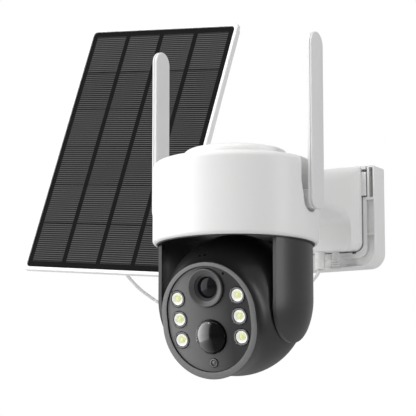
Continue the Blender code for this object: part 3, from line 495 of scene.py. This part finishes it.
def drum_skin(x, y, z):
    """Less than nothing inside the drum, whose rim is at height 0."""
    low = np.clip((2.4 - z) / 2.5, 0, 1)
    high = np.clip((z - 50) / 4.5, 0, 1)
    barrel = 52.6 + 2.4 * np.sqrt(1 - low ** 2) - 4.5 * (1 - np.sqrt(1 - high ** 2))
    open_side = 8.5 + 1.0 * np.clip((z - 27) / 12, 0, 1)
    pocket = np.where(z > HUB_HEIGHT, np.abs(y - HUB_DEPTH) - open_side,
                      np.hypot(y - HUB_DEPTH, z - HUB_HEIGHT) - 8.5)
    pocket = smooth_most(50.5 - np.abs(x), pocket, 0.6)
    return smooth_most(np.hypot(x, y) - barrel, -pocket, 0.6 + 2.8 * np.clip((z - 25) / 12, 0, 1))


def polar_ring(field, turns, reach=60.0):
    """How far out the field reaches nothing, along each direction from the middle."""
    near, far = np.zeros(len(turns)), np.full(len(turns), reach)
    for _ in range(30):
        middle = (near + far) / 2
        inside = field(middle * np.cos(turns), middle * np.sin(turns)) < 0
        near, far = np.where(inside, middle, near), np.where(inside, far, middle)
    return near


def drum_ring(height, radius=None, points=320):
    """The drum's outline at a height, or a circle, with its points closest at the pockets."""
    turns = np.linspace(0, math.tau, points, endpoint=False)
    turns = turns - 0.36 * np.sin(2 * turns)
    if radius:
        found = np.full(points, radius)
    else:
        found = polar_ring(lambda x, y: drum_skin(x, y, height), turns)
    return [(r * math.cos(a), r * math.sin(a), height) for r, a in zip(found, turns)]


heights = np.concatenate([np.linspace(-0.1, 2.4, 9), np.linspace(4, 16, 6),
                          np.linspace(16.8, 37, 42), np.linspace(38.5, 50, 8),
                          50 + 4.5 * np.sin(np.radians(np.linspace(8, 84, 9)))])
rings = [drum_ring(15.0, 52.7), drum_ring(0.0, 52.5)] + [drum_ring(height) for height in heights]
rings += [drum_ring(54.5, 50.2), drum_ring(54.5, 32.0), drum_ring(52.2, 32.0),
          drum_ring(52.2, 47.5), drum_ring(16.5, 47.5)]
shell = loft(rings, closed=True)
for side in (-1, 1):
    hole = Matrix.Translation((0, HUB_DEPTH, HUB_HEIGHT)) @ spun(90, "Y")
    shell = carve(shell, rod(2.4, *sorted((side * 46.0, side * 52.0)), hole))
adopt("drum_shell", shell, camera_frame, shell_white, "wall_mount", ["upper_shell"],
      angle=50)

# Cap: a low stepped dome that plugs the shell's top over a silicone seal.
cap = ([(38.4, 54.6), (38.0, 54.9)] + arc(38.2, 57.9, 3.0, -90, -180, 5)[1:]
       + arc(30.3, 57.9, 4.9, 0, 82, 8) + [(20.0, 63.3), (0, 63.6), (0, 61.4), (28.0, 61.0),
                                           (29.8, 59.0), (29.8, 48.5), (31.4, 48.5), (31.4, 54.6)])
adopt("cap_dome", turned(cap, 128), camera_frame, shell_white, "wall_mount", ["top_cap"])
seal = arc(33.2, 51.1, 0.9, 0, 345, 15)
adopt("cap_ring_seal", turned(seal, 96), camera_frame, silicone, "wall_mount", ["cap_seal"])

# Base: the black plate that closes the drum, with the skirt that shows as a ring inside its rim.
case_black = moulded("case_black", (0.030, 0.030, 0.031), 0.40, mottle=0.15)
base = [(12.5, 13.0), (51.5, 13.0), (51.5, -0.6), (51.7, -0.8), (52.1, -0.8), (52.3, -0.6),
        (52.4, 15.0), (51.9, 15.5), (12.5, 15.5)]
adopt("base_disc", turned(base, 128), camera_frame, case_black, "wall_mount", ["base_plate"])
nylon = moulded("nylon", (0.70, 0.67, 0.58), 0.45, grain=0.0012, mottle=0.05, Coat_Weight=0.1)
bearing = ([(12.5, 11.9), (12.9, 11.8)] + arc(16.4, 12.2, 0.4, -90, 0, 3)
           + [(16.8, 12.4), (16.4, 12.7), (12.5, 12.7)])
adopt("bearing_ring", turned(bearing, 96), camera_frame, nylon, "wall_mount", ["pan_bearing"])


# Antennas: flat paddles in two halves, with a parting line round the edge and a round hub that
# folds in the shell's pocket.
def paddle(inset):
    return (arc(-2.1, -0.5, 6.5 - inset, 180, 270) + arc(2.1, -0.5, 6.5 - inset, 270, 360)
            + arc(0, 102.2, 8.6 - inset, 0, 180, 32))


antenna_white = moulded("antenna_white", (0.74, 0.74, 0.74), 0.42)
layers = [(-1.9, 0.7), (-1.8, 0.35), (-1.55, 0.08), (-1.3, 0.0), (0.20, 0.0), (0.25, 0.55),
          (0.65, 0.55), (0.70, 0.0), (1.3, 0.0), (1.55, 0.08), (1.8, 0.35), (1.9, 0.7)]
for side, label in ((1, "right"), (-1, "left")):
    blade = loft([[(side * along, y, z) for y, z in paddle(inset)] for along, inset in layers])
    place = spun(side * 90, "Y")
    hub = turned([(0, -8.0), (6.2, -8.0), (6.6, -7.6), (6.6, -1.0), (0, -1.0)], 64, place)
    antenna = carve(carve(blade, hub, operation="UNION"), rod(2.1, -9.0, -3.4, place))
    place = camera_frame @ Matrix.Translation((side * 58.7, HUB_DEPTH, HUB_HEIGHT))
    adopt(f"{label}_paddle", antenna, place, antenna_white, f"{label}_antenna",
          [f"{label}_antenna"])

# Power: three lithium cells in printed shrink sleeves, in a black tray above the pan drive.
sleeve = Finish("cell_sleeve", Coat_Weight=0.4, Coat_Roughness=0.15)
along_cell = sleeve.place(camera_frame).parts()[1]
band = abs(along_cell + 20) < 3.0
wrinkle = sleeve.noise(0.0015, 3.0)
sleeve.set(Base_Color=sleeve.mix(band, (0.03, 0.16, 0.42), (0.75, 0.76, 0.78)),
           Roughness=0.30 + 0.15 * wrinkle)
sleeve.bump(wrinkle, 0.00006, 0.4)


def dress(finish, *names):
    """Gives CAD nodes that are shown as they are their finish."""
    for name in names:
        mesh = frame["nodes"][name].data
        mesh.materials.clear()
        mesh.materials.append(finish.material)


dress(sleeve, "battery_cell_1", "battery_cell_2", "battery_cell_3")
dress(case_black, "battery_tray")

# Boards: green solder resist over copper tracks, for the radio above and for the face below.
board = Finish("solder_resist", Roughness=0.35, Coat_Weight=0.3)
flat = board.node("TexBrick", {"offset": 0.37, "squash": 1.6, "squash_frequency": 3},
                  Vector=board.place(), Scale=420.0, Mortar_Size=0.06, Brick_Width=1.9)
tracks = Signal(board, flat.outputs["Fac"])
weave = board.noise(0.0004, 1.0)
resist = board.mix(tracks, (0.012, 0.11, 0.045), (0.03, 0.24, 0.10))
board.set(Base_Color=board.mix(0.15 * weave, resist, (0.05, 0.3, 0.15)))
board.bump(tracks, 0.00003, 0.5)
dress(board, "main_board", "head_board")

# Drives: steel motor cans, a nylon gear on the yoke's hub with a steel pinion beside it, and the
# steel pins that the antennas and the head turn on.
can_steel = plated("can_steel", (0.50, 0.50, 0.51), 0.30, grain=0.0006)
dress(can_steel, "pan_motor", "tilt_motor", "speaker")
dress(nylon, "pan_gear")
dress(zinc, "pan_pinion", "left_antenna_pin", "right_antenna_pin", "left_tilt_pin",
      "right_tilt_pin")

# Yoke: a thin black moulding that hangs under the drum, a ring and two cheeks with round feet.
# Its hub goes up through the bearing into the gear.
yoke_black = moulded("yoke_black", (0.030, 0.030, 0.032), 0.34, mottle=0.12)
ring = ([(51.0, 11.5)] + arc(0, -36.5, 51.0, 0, -52, 28) + arc(0, -36.5, 49.0, -52, 0, 28)
        + [(49.0, 8.5), (6.0, 8.5), (6.0, 22.5), (8.5, 22.5), (8.5, 17.2), (12.0, 17.2),
           (12.0, 11.5)])
cheeks = ([(-100, -100), (-100, 0.4), (-26.5, 0.4)] + arc(0, TILT_HEIGHT, 26.5, 180, 360, 48)
          + [(26.5, 0.4), (100, 0.4), (100, -100)])
yoke = carve(turned(ring, 160), prism(cheeks, -100, 100, "X"))
for side in (-1, 1):
    yoke = carve(yoke, rod(3.4, *sorted((side * 40.0, side * 50.0)),
                           Matrix.Translation((0, 0, TILT_HEIGHT)) @ spun(90, "Y")))
soften(adopt("cheek_yoke", yoke, camera_frame, yoke_black, "yoke", ["yoke"],
             angle=30), 0.5)

# Head: a ball with flat sides that runs into an oval snout, moulded as a front and a rear shell
# 2 mm thick, with a grey rim fixed round the mouth and two small slots in the forehead. The skin
# is found at each depth by stepping out from the middle line.
head_frame = camera_frame @ Matrix.Translation((0, 0, TILT_HEIGHT)) @ spun(12.6, "X")


def head_skin(x, y, z):
    """Less than nothing inside the head, which faces -Y and tilts about the X axis."""
    ball = np.sqrt(x * x + y * y + z * z) - 46.5
    snout = np.hypot(x, np.maximum(np.abs(z + 5.2) - 3.6, 0)) - 34.3
    both = -smooth_most(-ball, -np.maximum(snout, y), 3)
    return smooth_most(both, np.abs(x) - 39.3, 1.2)


def head_ring(y, inset):
    """The head's outline at one depth, this far inside its skin."""
    turns = np.linspace(0, math.tau, 160, endpoint=False)
    middle = -5.2 * np.clip((20 - y) / 50, 0, 1)
    found = polar_ring(lambda x, z: head_skin(x, y, z + middle) + inset, turns)
    return [(r * math.cos(a), y, middle + r * math.sin(a)) for r, a in zip(found, turns)]


def oval(half, height, middle, steps=32):
    straight = height / 2 - half
    return (arc(0, middle + straight, half, 0, 180, steps)
            + arc(0, middle - straight, half, 180, 360, steps))


head_black = moulded("head_black", (0.016, 0.016, 0.017), 0.36, mottle=0.12)
depths = ([(7.85, 0.3), (7.6, 0.0)] + [(y, 0.0) for y in np.linspace(6.5, -38.0, 38)]
          + [(-38.15, 0.0), (-38.15, 6.5), (-35.6, 6.5), (-35.6, 2.0)]
          + [(y, 2.0) for y in np.linspace(-34.5, 7.85, 24)])
front = loft([head_ring(y, inset) for y, inset in depths], closed=True)
vents = [put(block((x - 1.4, -48, -1.1), (x + 1.4, -45.2, 1.1)), spun(-52, "X"))
         for x in (-6.6, -2.8)]
mouth = oval(30.4, 68.7, -4.2)
front = carve(front, prism(mouth, -50, -30), *vents)
for side in (-1, 1):
    front = carve(front, rod(3.4, *sorted((side * 33.0, side * 45.0)), spun(90, "Y")))
soften(adopt("head_front", front, head_frame, head_black, "head", ["head_front_shell"],
             angle=30), 0.3)
bezel_grey = moulded("bezel_grey", (0.135, 0.135, 0.134), 0.33, mottle=0.06)
rim = loft([head_ring(y, inset) for y, inset in
            [(-38.2, 6.5), (-38.2, 0.1), (-38.5, 0.1), (-38.8, 0.3), (-38.9, 0.7), (-38.9, 6.5)]],
           closed=True)
rim = carve(rim, prism(mouth, -50, -30))
soften(adopt("bezel_rim", rim, head_frame, bezel_grey, "head"), 0.3)
turns = np.radians(np.linspace(89.4, 12, 26))
inner = [(44.5 * math.sin(turn), 2.0) for turn in turns] + [(8.15, 2.0)]
turns = np.radians(np.linspace(11, 89.4, 32))
outer = [(8.15, 0.3), (8.4, 0.0)] + [(46.5 * math.sin(turn), 0.0) for turn in turns]
rear = loft([head_ring(y, inset) for y, inset in inner + outer])
adopt("head_rear", rear, head_frame, head_black, "head", ["head_rear_shell"])

# Face plate: dark grey satin, set back in the snout's rim, with round openings for what looks out.
face_grey = Finish("face_grey", Specular_IOR_Level=0.32)
# Painted shade: the plate's grey runs from lighter on the left to near black on the right, the fall of
# the key light painted into its colour.
painted_shade_across = (face_grey.place(head_frame).parts()[0] + 27) / 42
fine = face_grey.noise(0.0005, 1.0)
face_grey.set(Base_Color=face_grey.mix(painted_shade_across, (0.180, 0.180, 0.180), (0.008, 0.008, 0.008)),
              Roughness=0.42 + 0.06 * fine)
face_grey.bump(fine, 0.00003, 0.5)


def facing(x, z):
    """The place of a turned piece in the face, whose heights are measured from the tilt axis."""
    return Matrix.Translation((x, 0, z)) @ spun(90, "X")


lamps = [(side * 21.9, -3.4 + row * 13.4) for row in (1, 0, -1) for side in (-1, 1)]
openings = [(0, 16, 12.8), (0, -15.6, 11.3), (0, -32.5, 3.2), (13.3, 24.4, 0.8)]
openings += [(x, z, 5.7) for x, z in lamps]
plate = carve(prism(oval(30.1, 68.1, -4.2), -37.5, -35.7),
              *[rod(radius, 30, 45, facing(x, z), 48) for x, z, radius in openings])
soften(adopt("face_panel", plate, head_frame, face_grey, "head", ["face_plate"]), 0.25)

# Lens: a raised black ring, with a ribbed cone that drops to the glass to keep stray light out.
barrel = ([(0, 20.0), (10.5, 20.0), (12.5, 30.0), (12.5, 38.6)] + arc(11.8, 38.8, 0.7, 0, 90, 4)
          + [(11.2, 39.4), (9.0, 37.9), (8.6, 37.8), (8.4, 37.1)])
for rib in range(3):
    barrel += [(8.1 - rib * 0.35, 37.2 - rib * 0.25), (7.9 - rib * 0.35, 36.9 - rib * 0.25)]
barrel += [(7.05, 36.2), (7.05, 32.0), (0, 32.0)]
lens_grey = moulded("lens_grey", (0.055, 0.055, 0.056), 0.30, mottle=0.1)
adopt("lens_ring", turned(barrel, 96, facing(0, 16)), head_frame, lens_grey, "head",
      ["lens_barrel"], angle=25)
coated = Finish("coated_glass", Roughness=0.03, Specular_IOR_Level=0.22)
# Painted reflection: the glass turns from black at its middle to a faint blue toward its edge by the
# facing angle, a coating sheen painted into its colour.
painted_rim_sheen = coated.node("LayerWeight", Blend=0.35).outputs["Facing"]
coated.set(Base_Color=coated.mix(Signal(coated, painted_rim_sheen), (0.002, 0.002, 0.003),
                                 (0.012, 0.012, 0.022)))
coated.bump(coated.noise(0.02), 0.00001, 0.1)
glass = [(0, 32.3), (6.9, 32.3), (6.9, 35.3)] + arc(0, 25.01, 12.386, 56.2, 90, 14)
adopt("front_element", turned(glass, 96, facing(0, 16)), head_frame, coated, "head",
      ["lens_glass"])

# Motion sensor: a domed lens of dark polyethylene, whose back is moulded in small facets. Its
# clear coat is a painted reflection: it fades out just past the middle, so the left half shines.
dome_black = Finish("dome_black", Specular_IOR_Level=0.12, Coat_IOR=1.50, Coat_Roughness=0.12)
# Painted reflection: the coat weight grows toward the left of the head and is nothing on the right.
gloss = (dome_black.place(head_frame).parts()[0] - 3.2) * -0.3
facets = dome_black.node("TexVoronoi", {"feature": "DISTANCE_TO_EDGE"}, Scale=420.0,
                         Vector=dome_black.place(head_frame @ Matrix.Scale(1000, 4)))
facets = Signal(dome_black, facets.outputs["Distance"])
dome_black.set(Base_Color=dome_black.mix(facets, (0.003, 0.003, 0.003), (0.006, 0.006, 0.006)),
               Roughness=0.10 + 0.05 * facets, Coat_Weight=gloss)
dome_black.bump(facets, 0.00001, 0.1)
dome = [(0, 33.0), (11.0, 33.0), (11.0, 37.6)]
dome += [(11 * math.cos(a), 37.6 + 5.2 * math.sin(a))
         for a in np.radians(np.linspace(4, 90, 20))]
adopt("sensor_dome", turned(dome, 96, facing(0, -15.6)), head_frame, dome_black, "head",
      ["motion_dome"])

# Lamps: six, each a smoked rim with four small lugs, a bright white cup and a phosphor chip.
smoked = moulded("smoked_rim", (0.055, 0.055, 0.058), 0.18, mottle=0.3, Coat_Weight=0.6)
# Painted light: the white cup glows faintly, though the lamp is not lit.
cup_white_painted_glow = moulded("cup_white_painted_glow", (0.90, 0.90, 0.90), 0.12, Coat_Weight=0.6,
                    Emission_Color=(1, 1, 1), Emission_Strength=0.22)
# Painted light: the chip glows faintly, though the lamp is not lit; its yellow-green is its own
# colour.
phosphor = moulded("phosphor", (0.66, 0.69, 0.36), 0.30, grain=0.0002, mottle=0.12,
                   Emission_Color=(0.85, 0.95, 0.45), Emission_Strength=0.14)
for number, (x, z) in enumerate(lamps):
    rim = turned([(4.15, 34.0), (5.4, 34.0), (5.4, 37.9), (5.15, 38.2), (4.4, 38.2),
                  (4.15, 37.9)], 48, facing(x, z))
    for turn in (45, 135, 225, 315):
        lug = block((4.5, -0.5, 37.4), (5.6, 0.5, 38.5), 0.1, 1)
        rim = carve(rim, put(lug, facing(x, z) @ spun(turn, "Z")), operation="UNION")
    adopt(f"lamp_rim_{number + 1}", rim, head_frame, smoked, "head", [f"led_{number + 1}"])
    cup = [(0, 33.6), (4.0, 33.6), (4.0, 37.6), (3.8, 37.8), (3.5, 37.7), (2.3, 35.6), (0, 35.6)]
    adopt(f"lamp_cup_{number + 1}", turned(cup, 48, facing(x, z)), head_frame, cup_white_painted_glow, "head")
    chip = [(0, 35.4), (2.1, 35.4), (2.2, 36.3)] + arc(0, 34.1, 3.1, 48, 90, 5)
    adopt(f"lamp_chip_{number + 1}", turned(chip, 32, facing(x, z)), head_frame, phosphor, "head")

# Light sensor: a small smoked window in a raised collar, below the motion dome.
eye = ([(0, 33.5), (2.9, 33.5), (2.9, 37.9)] + arc(2.6, 37.9, 0.3, 0, 90, 3)
       + [(2.1, 38.2), (1.7, 37.8), (1.5, 37.4), (0.7, 37.5), (0, 37.6)])
adopt("sensor_eye", turned(eye, 48, facing(0, -32.5)), head_frame, smoked, "head",
      ["light_sensor"])

# Panel stem: a round white wall plate, a short bar and a fork, in one moulding, with its screws
# and the upright bolt that the swivel block turns on. Sizes are in millimetres from the tilt bolt.
pivot = Matrix.Translation(joints["panel_tilt"]["pos_m"]) @ spun(-2.7, "Z")
swivel_frame = pivot @ Matrix.Translation((0, 0.013, 0)) @ Matrix.Scale(0.001, 4)
tilt_frame = pivot @ spun(-16.2, "X") @ Matrix.Scale(0.001, 4)
panel_frame = tilt_frame @ spun(6.3, "Y")
upright_axis = swivel_frame.translation
stem_frame = Matrix.Translation(upright_axis) @ Matrix.Scale(0.001, 4)
wall = -upright_axis.y * 1000
from_wall = Matrix.Translation((0, wall, 0)) @ to_room
stem = turned([(0, 0), (23.0, 0), (23.0, 2.2), (22.4, 3.4), (21.2, 4.0), (13.0, 4.0), (11.6, 5.0),
               (10.0, 5.5), (0, 5.5)], 96, from_wall)
bar = rod(7.2, 3.0, wall - 9.0, from_wall, 64)
fork = block((-7.0, -7.0, -11.8), (7.0, 15.0, 11.8), 1.5)
stem = carve(stem, bar, fork, operation="UNION")
stem = carve(stem, block((-20, -20, -7.3), (20, 10.0, 7.3)), rod(2.7, -30, 30),
             *[rod(2.2, -5, 9, Matrix.Translation((0, 0, z)) @ from_wall) for z in (-17.5, 17.5)])
panel_white = moulded("panel_white", (0.80, 0.80, 0.795), 0.42)
soften(adopt("wall_stem", stem, stem_frame, shell_white, "wall_mount", ["panel_stem"]), 0.5)
for label, z in (("upper", 17.5), ("lower", -17.5)):
    place = Matrix.Translation((0, 0, z)) @ from_wall
    screw = turned([(0, 0.6), (1.8, 0.6), (1.8, 4.3), (3.6, 4.3), (3.6, 5.2), (2.9, 6.0),
                    (0, 6.3)], 32, place)
    slot = put(block((-3.0, -0.4, 5.4), (3.0, 0.4, 8.0)), place)
    adopt(f"{label}_stem_fixing", carve(screw, slot), stem_frame, zinc, "wall_mount",
          [f"{label}_stem_screw"])


def socket_bolt(place):
    """A plated bolt with a round head and a hexagon socket."""
    bolt = turned([(0, -13.5), (2.2, -13.5), (2.5, -13.2), (2.5, 12.1), (4.6, 12.1), (4.6, 14.6),
                   (4.2, 15.0), (0, 15.0)], 48, place)
    return carve(bolt, put(prism(arc(0, 0, 2.0, 0, 300, 5), 13.0, 16.0, "Z"), place))


adopt("upright_bolt", socket_bolt(Matrix()), stem_frame, zinc, "wall_mount", ["swivel_bolt"])

# Swivel block: a white knuckle in the fork, drilled upright for one bolt and level for the other.
across_axis = spun(90, "Y")
knuckle = carve(block((-7.0, -20.0, -7.0), (7.0, 7.0, 7.0), 2.0, 4),
                rod(2.7, -20, 20),
                rod(2.7, -20, 20, Matrix.Translation((0, -13, 0)) @ across_axis))
soften(adopt("knuckle", knuckle, swivel_frame, panel_white, "panel_swivel", ["swivel_block"]), 0.3)

# Panel hub: a square pad with two round ears, held by the level bolt and fixed to the tray's back.
hub = block((-21.0, -14.5, -21.0), (21.0, -11.5, 21.0), 1.2, 3)
for side in (-1, 1):
    ends = sorted((side * 7.3, side * 11.0))
    cheek = [(-12.5, -7.0), (-12.5, 7.0)] + arc(0, 0, 7.0, 90, -90, 24)
    web = [(side * 10.6, -12.0), (side * 18.0, -12.0), (side * 10.6, -4.0)]
    hub = carve(hub, prism(cheek, *ends, "X"), prism(web, -1.0, 1.0, "Z"), operation="UNION")
hub = carve(hub, rod(2.7, -20, 20, across_axis))
soften(adopt("hub_bracket", hub, tilt_frame, panel_white, "panel", ["panel_hub"]),
       0.4)
adopt("level_bolt", socket_bolt(across_axis), tilt_frame, zinc, "panel", ["tilt_bolt"])

# Panel tray: white, with a thin raised lip round the laminate, a step behind it and ribs across
# the back.
def sheet_edge(inset, rounding=3.0):
    return rectangle(67.75 - inset, inset - 100.75, 100.75 - inset, rounding, rounding, 5)


edges = [(-14.8, 2.2), (-15.1, 1.7), (-18.3, 1.6), (-18.3, 0.2), (-18.5, 0.0), (-21.7, 0.0),
         (-22.05, 0.35), (-22.1, 0.8), (-22.1, 2.1), (-21.9, 2.5), (-18.3, 2.5)]
tray = loft([[(x, y, z) for x, z in sheet_edge(inset)] for y, inset in edges])
for x in (-45.0, 45.0):
    tray = carve(tray, block((x - 0.9, -15.0, -92.0), (x + 0.9, -14.0, 92.0), 0.3, 2),
                 operation="UNION")
adopt("panel_tray", tray, panel_frame, panel_white, "panel", ["panel_frame"],
      angle=30)

# Laminate: four columns and six rows of dark cells under a clear sheet. Fine silver lines cross
# each cell, and each is a slightly different tone.
CELL_PITCH = 31.4
LINE_PITCH = 1.66
cells = Finish("cells", Specular_IOR_Level=0.02)
across, _, up = cells.place(panel_frame).parts()
column = across / CELL_PITCH + 2
row = up / CELL_PITCH + 3
in_cell = ((abs(column.fraction() - 0.5) < 0.4379) * (abs(row.fraction() - 0.5) < 0.4830)
           * (abs(across) < 62.0) * (abs(up) < 94.2))
lines = (abs((up / LINE_PITCH).fraction() - 0.5) < 0.105) * in_cell
number = column.sum("FLOOR", column) * 7.3 + row.sum("FLOOR", row) * 3.1
tone = Signal(cells, cells.node("TexWhiteNoise", {"noise_dimensions": "1D"}, W=number)
              .outputs["Value"])
sheet = cells.mix(in_cell, (0.007, 0.007, 0.007), cells.mix(tone, (0.014, 0.014, 0.015),
                                                           (0.022, 0.022, 0.022)))
cells.set(Base_Color=cells.mix(lines, sheet, (0.125, 0.125, 0.125)),
          Roughness=0.50 + 0.08 * cells.noise(0.01))
cells.bump(cells.noise(0.004), 0.00003, 0.15)
laminate = [(-18.7, 2.8), (-21.3, 2.8), (-21.5, 3.0)]
laminate = loft([[(x, y, z) for x, z in sheet_edge(inset)] for y, inset in laminate])
adopt("cell_sheet", laminate, panel_frame, cells, "panel", ["panel_laminate"],
      angle=30)

# Junction box: a black box on the tray's back with a screwed lid, and the rubber nipple that the
# lead leaves by.
box = block((-18.0, -14.5, -64.0), (18.0, -4.0, -34.0), 2.0, 4)
groove = carve(block((-20, -7.0, -66), (20, -6.6, -32)),
               block((-17.6, -8, -63.6), (17.6, -5, -34.4)))
box = carve(box, groove)
for x in (-14.5, 14.5):
    for z in (-60.5, -37.5):
        place = Matrix.Translation((x, 0, z)) @ spun(-90, "X")
        box = carve(box, rod(1.6, -5.0, 0, place, 24))
adopt("lead_box", box, panel_frame, case_black, "panel", ["junction_box"])
nipple = [(0, -3.0), (2.2, -3.0), (2.5, -2.6), (2.5, -2.1), (3.0, -1.9), (3.0, -1.4), (3.4, -1.2),
          (3.4, 0), (0, 0)]
adopt("lead_nipple", turned(nipple, 48, Matrix.Translation((0, -9.0, -64.3))), panel_frame,
      silicone, "panel", ["cable_outlet"])

# Cable: one white two-core cable of 2.4 mm. A lead hangs from the junction box to the swivel's
# upright axis, and the long run goes on from there to the gland.
CABLE_DIAMETER = 0.0024
lead_route = [
    (-0.1393, -0.0885, -0.0136), (-0.1399, -0.0873, -0.0190), (-0.1408, -0.0833, -0.0270),
    (-0.1407, -0.0765, -0.0350), (-0.1386, -0.0697, -0.0420), (-0.1344, -0.0605, -0.0497),
    (-0.1301, -0.0493, -0.0557),
]
run_route = [
    (-0.1297, -0.0482, -0.0562), (-0.1262, -0.0462, -0.0588), (-0.1195, -0.0440, -0.0626),
    (-0.1082, -0.0415, -0.0671), (-0.0940, -0.0395, -0.0706), (-0.0800, -0.0385, -0.0723),
    (-0.0654, -0.0378, -0.0726), (-0.0516, -0.0374, -0.0714), (-0.0376, -0.0361, -0.0678),
    (-0.0247, -0.0342, -0.0621), (-0.0153, -0.0321, -0.0547), (-0.0090, -0.0305, -0.0475),
    (-0.0050, -0.0293, -0.0425), (-0.0033, -0.0287, -0.0389),
]
cable_jacket = moulded("cable_jacket", (0.80, 0.80, 0.79), 0.45, grain=0.0008)


def cable_piece(name, line):
    """A round jacket along a line of points, as a mesh."""
    rings = []
    side = Vector((0, 0, 1))
    for before, after, point in zip([line[0]] + line, line[1:] + [line[-1]], line):
        along = (Vector(after) - Vector(before)).normalized()
        side = (side - along * side.dot(along)).normalized()
        over = along.cross(side)
        rings.append([Vector(point) + CABLE_DIAMETER / 2 * (side * math.cos(a) + over * math.sin(a))
                      for a in np.linspace(0, math.tau, 20, endpoint=False)])
    return adopt(name, loft(rings), Matrix(), cable_jacket, None, angle=50)


def line_length(line):
    return sum(float(np.linalg.norm(b - a)) for a, b in zip(line, line[1:]))


lead_line = list(smooth_route(lead_route))
lead = cable_piece("panel_lead", lead_line)
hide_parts("cable_lead")
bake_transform(lead)
line_length(lead_line)
run_line = list(smooth_route(run_route))
run = cable_piece("camera_cable", run_line)
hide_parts("solar_cable")
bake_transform(run)
line_length(run_line)
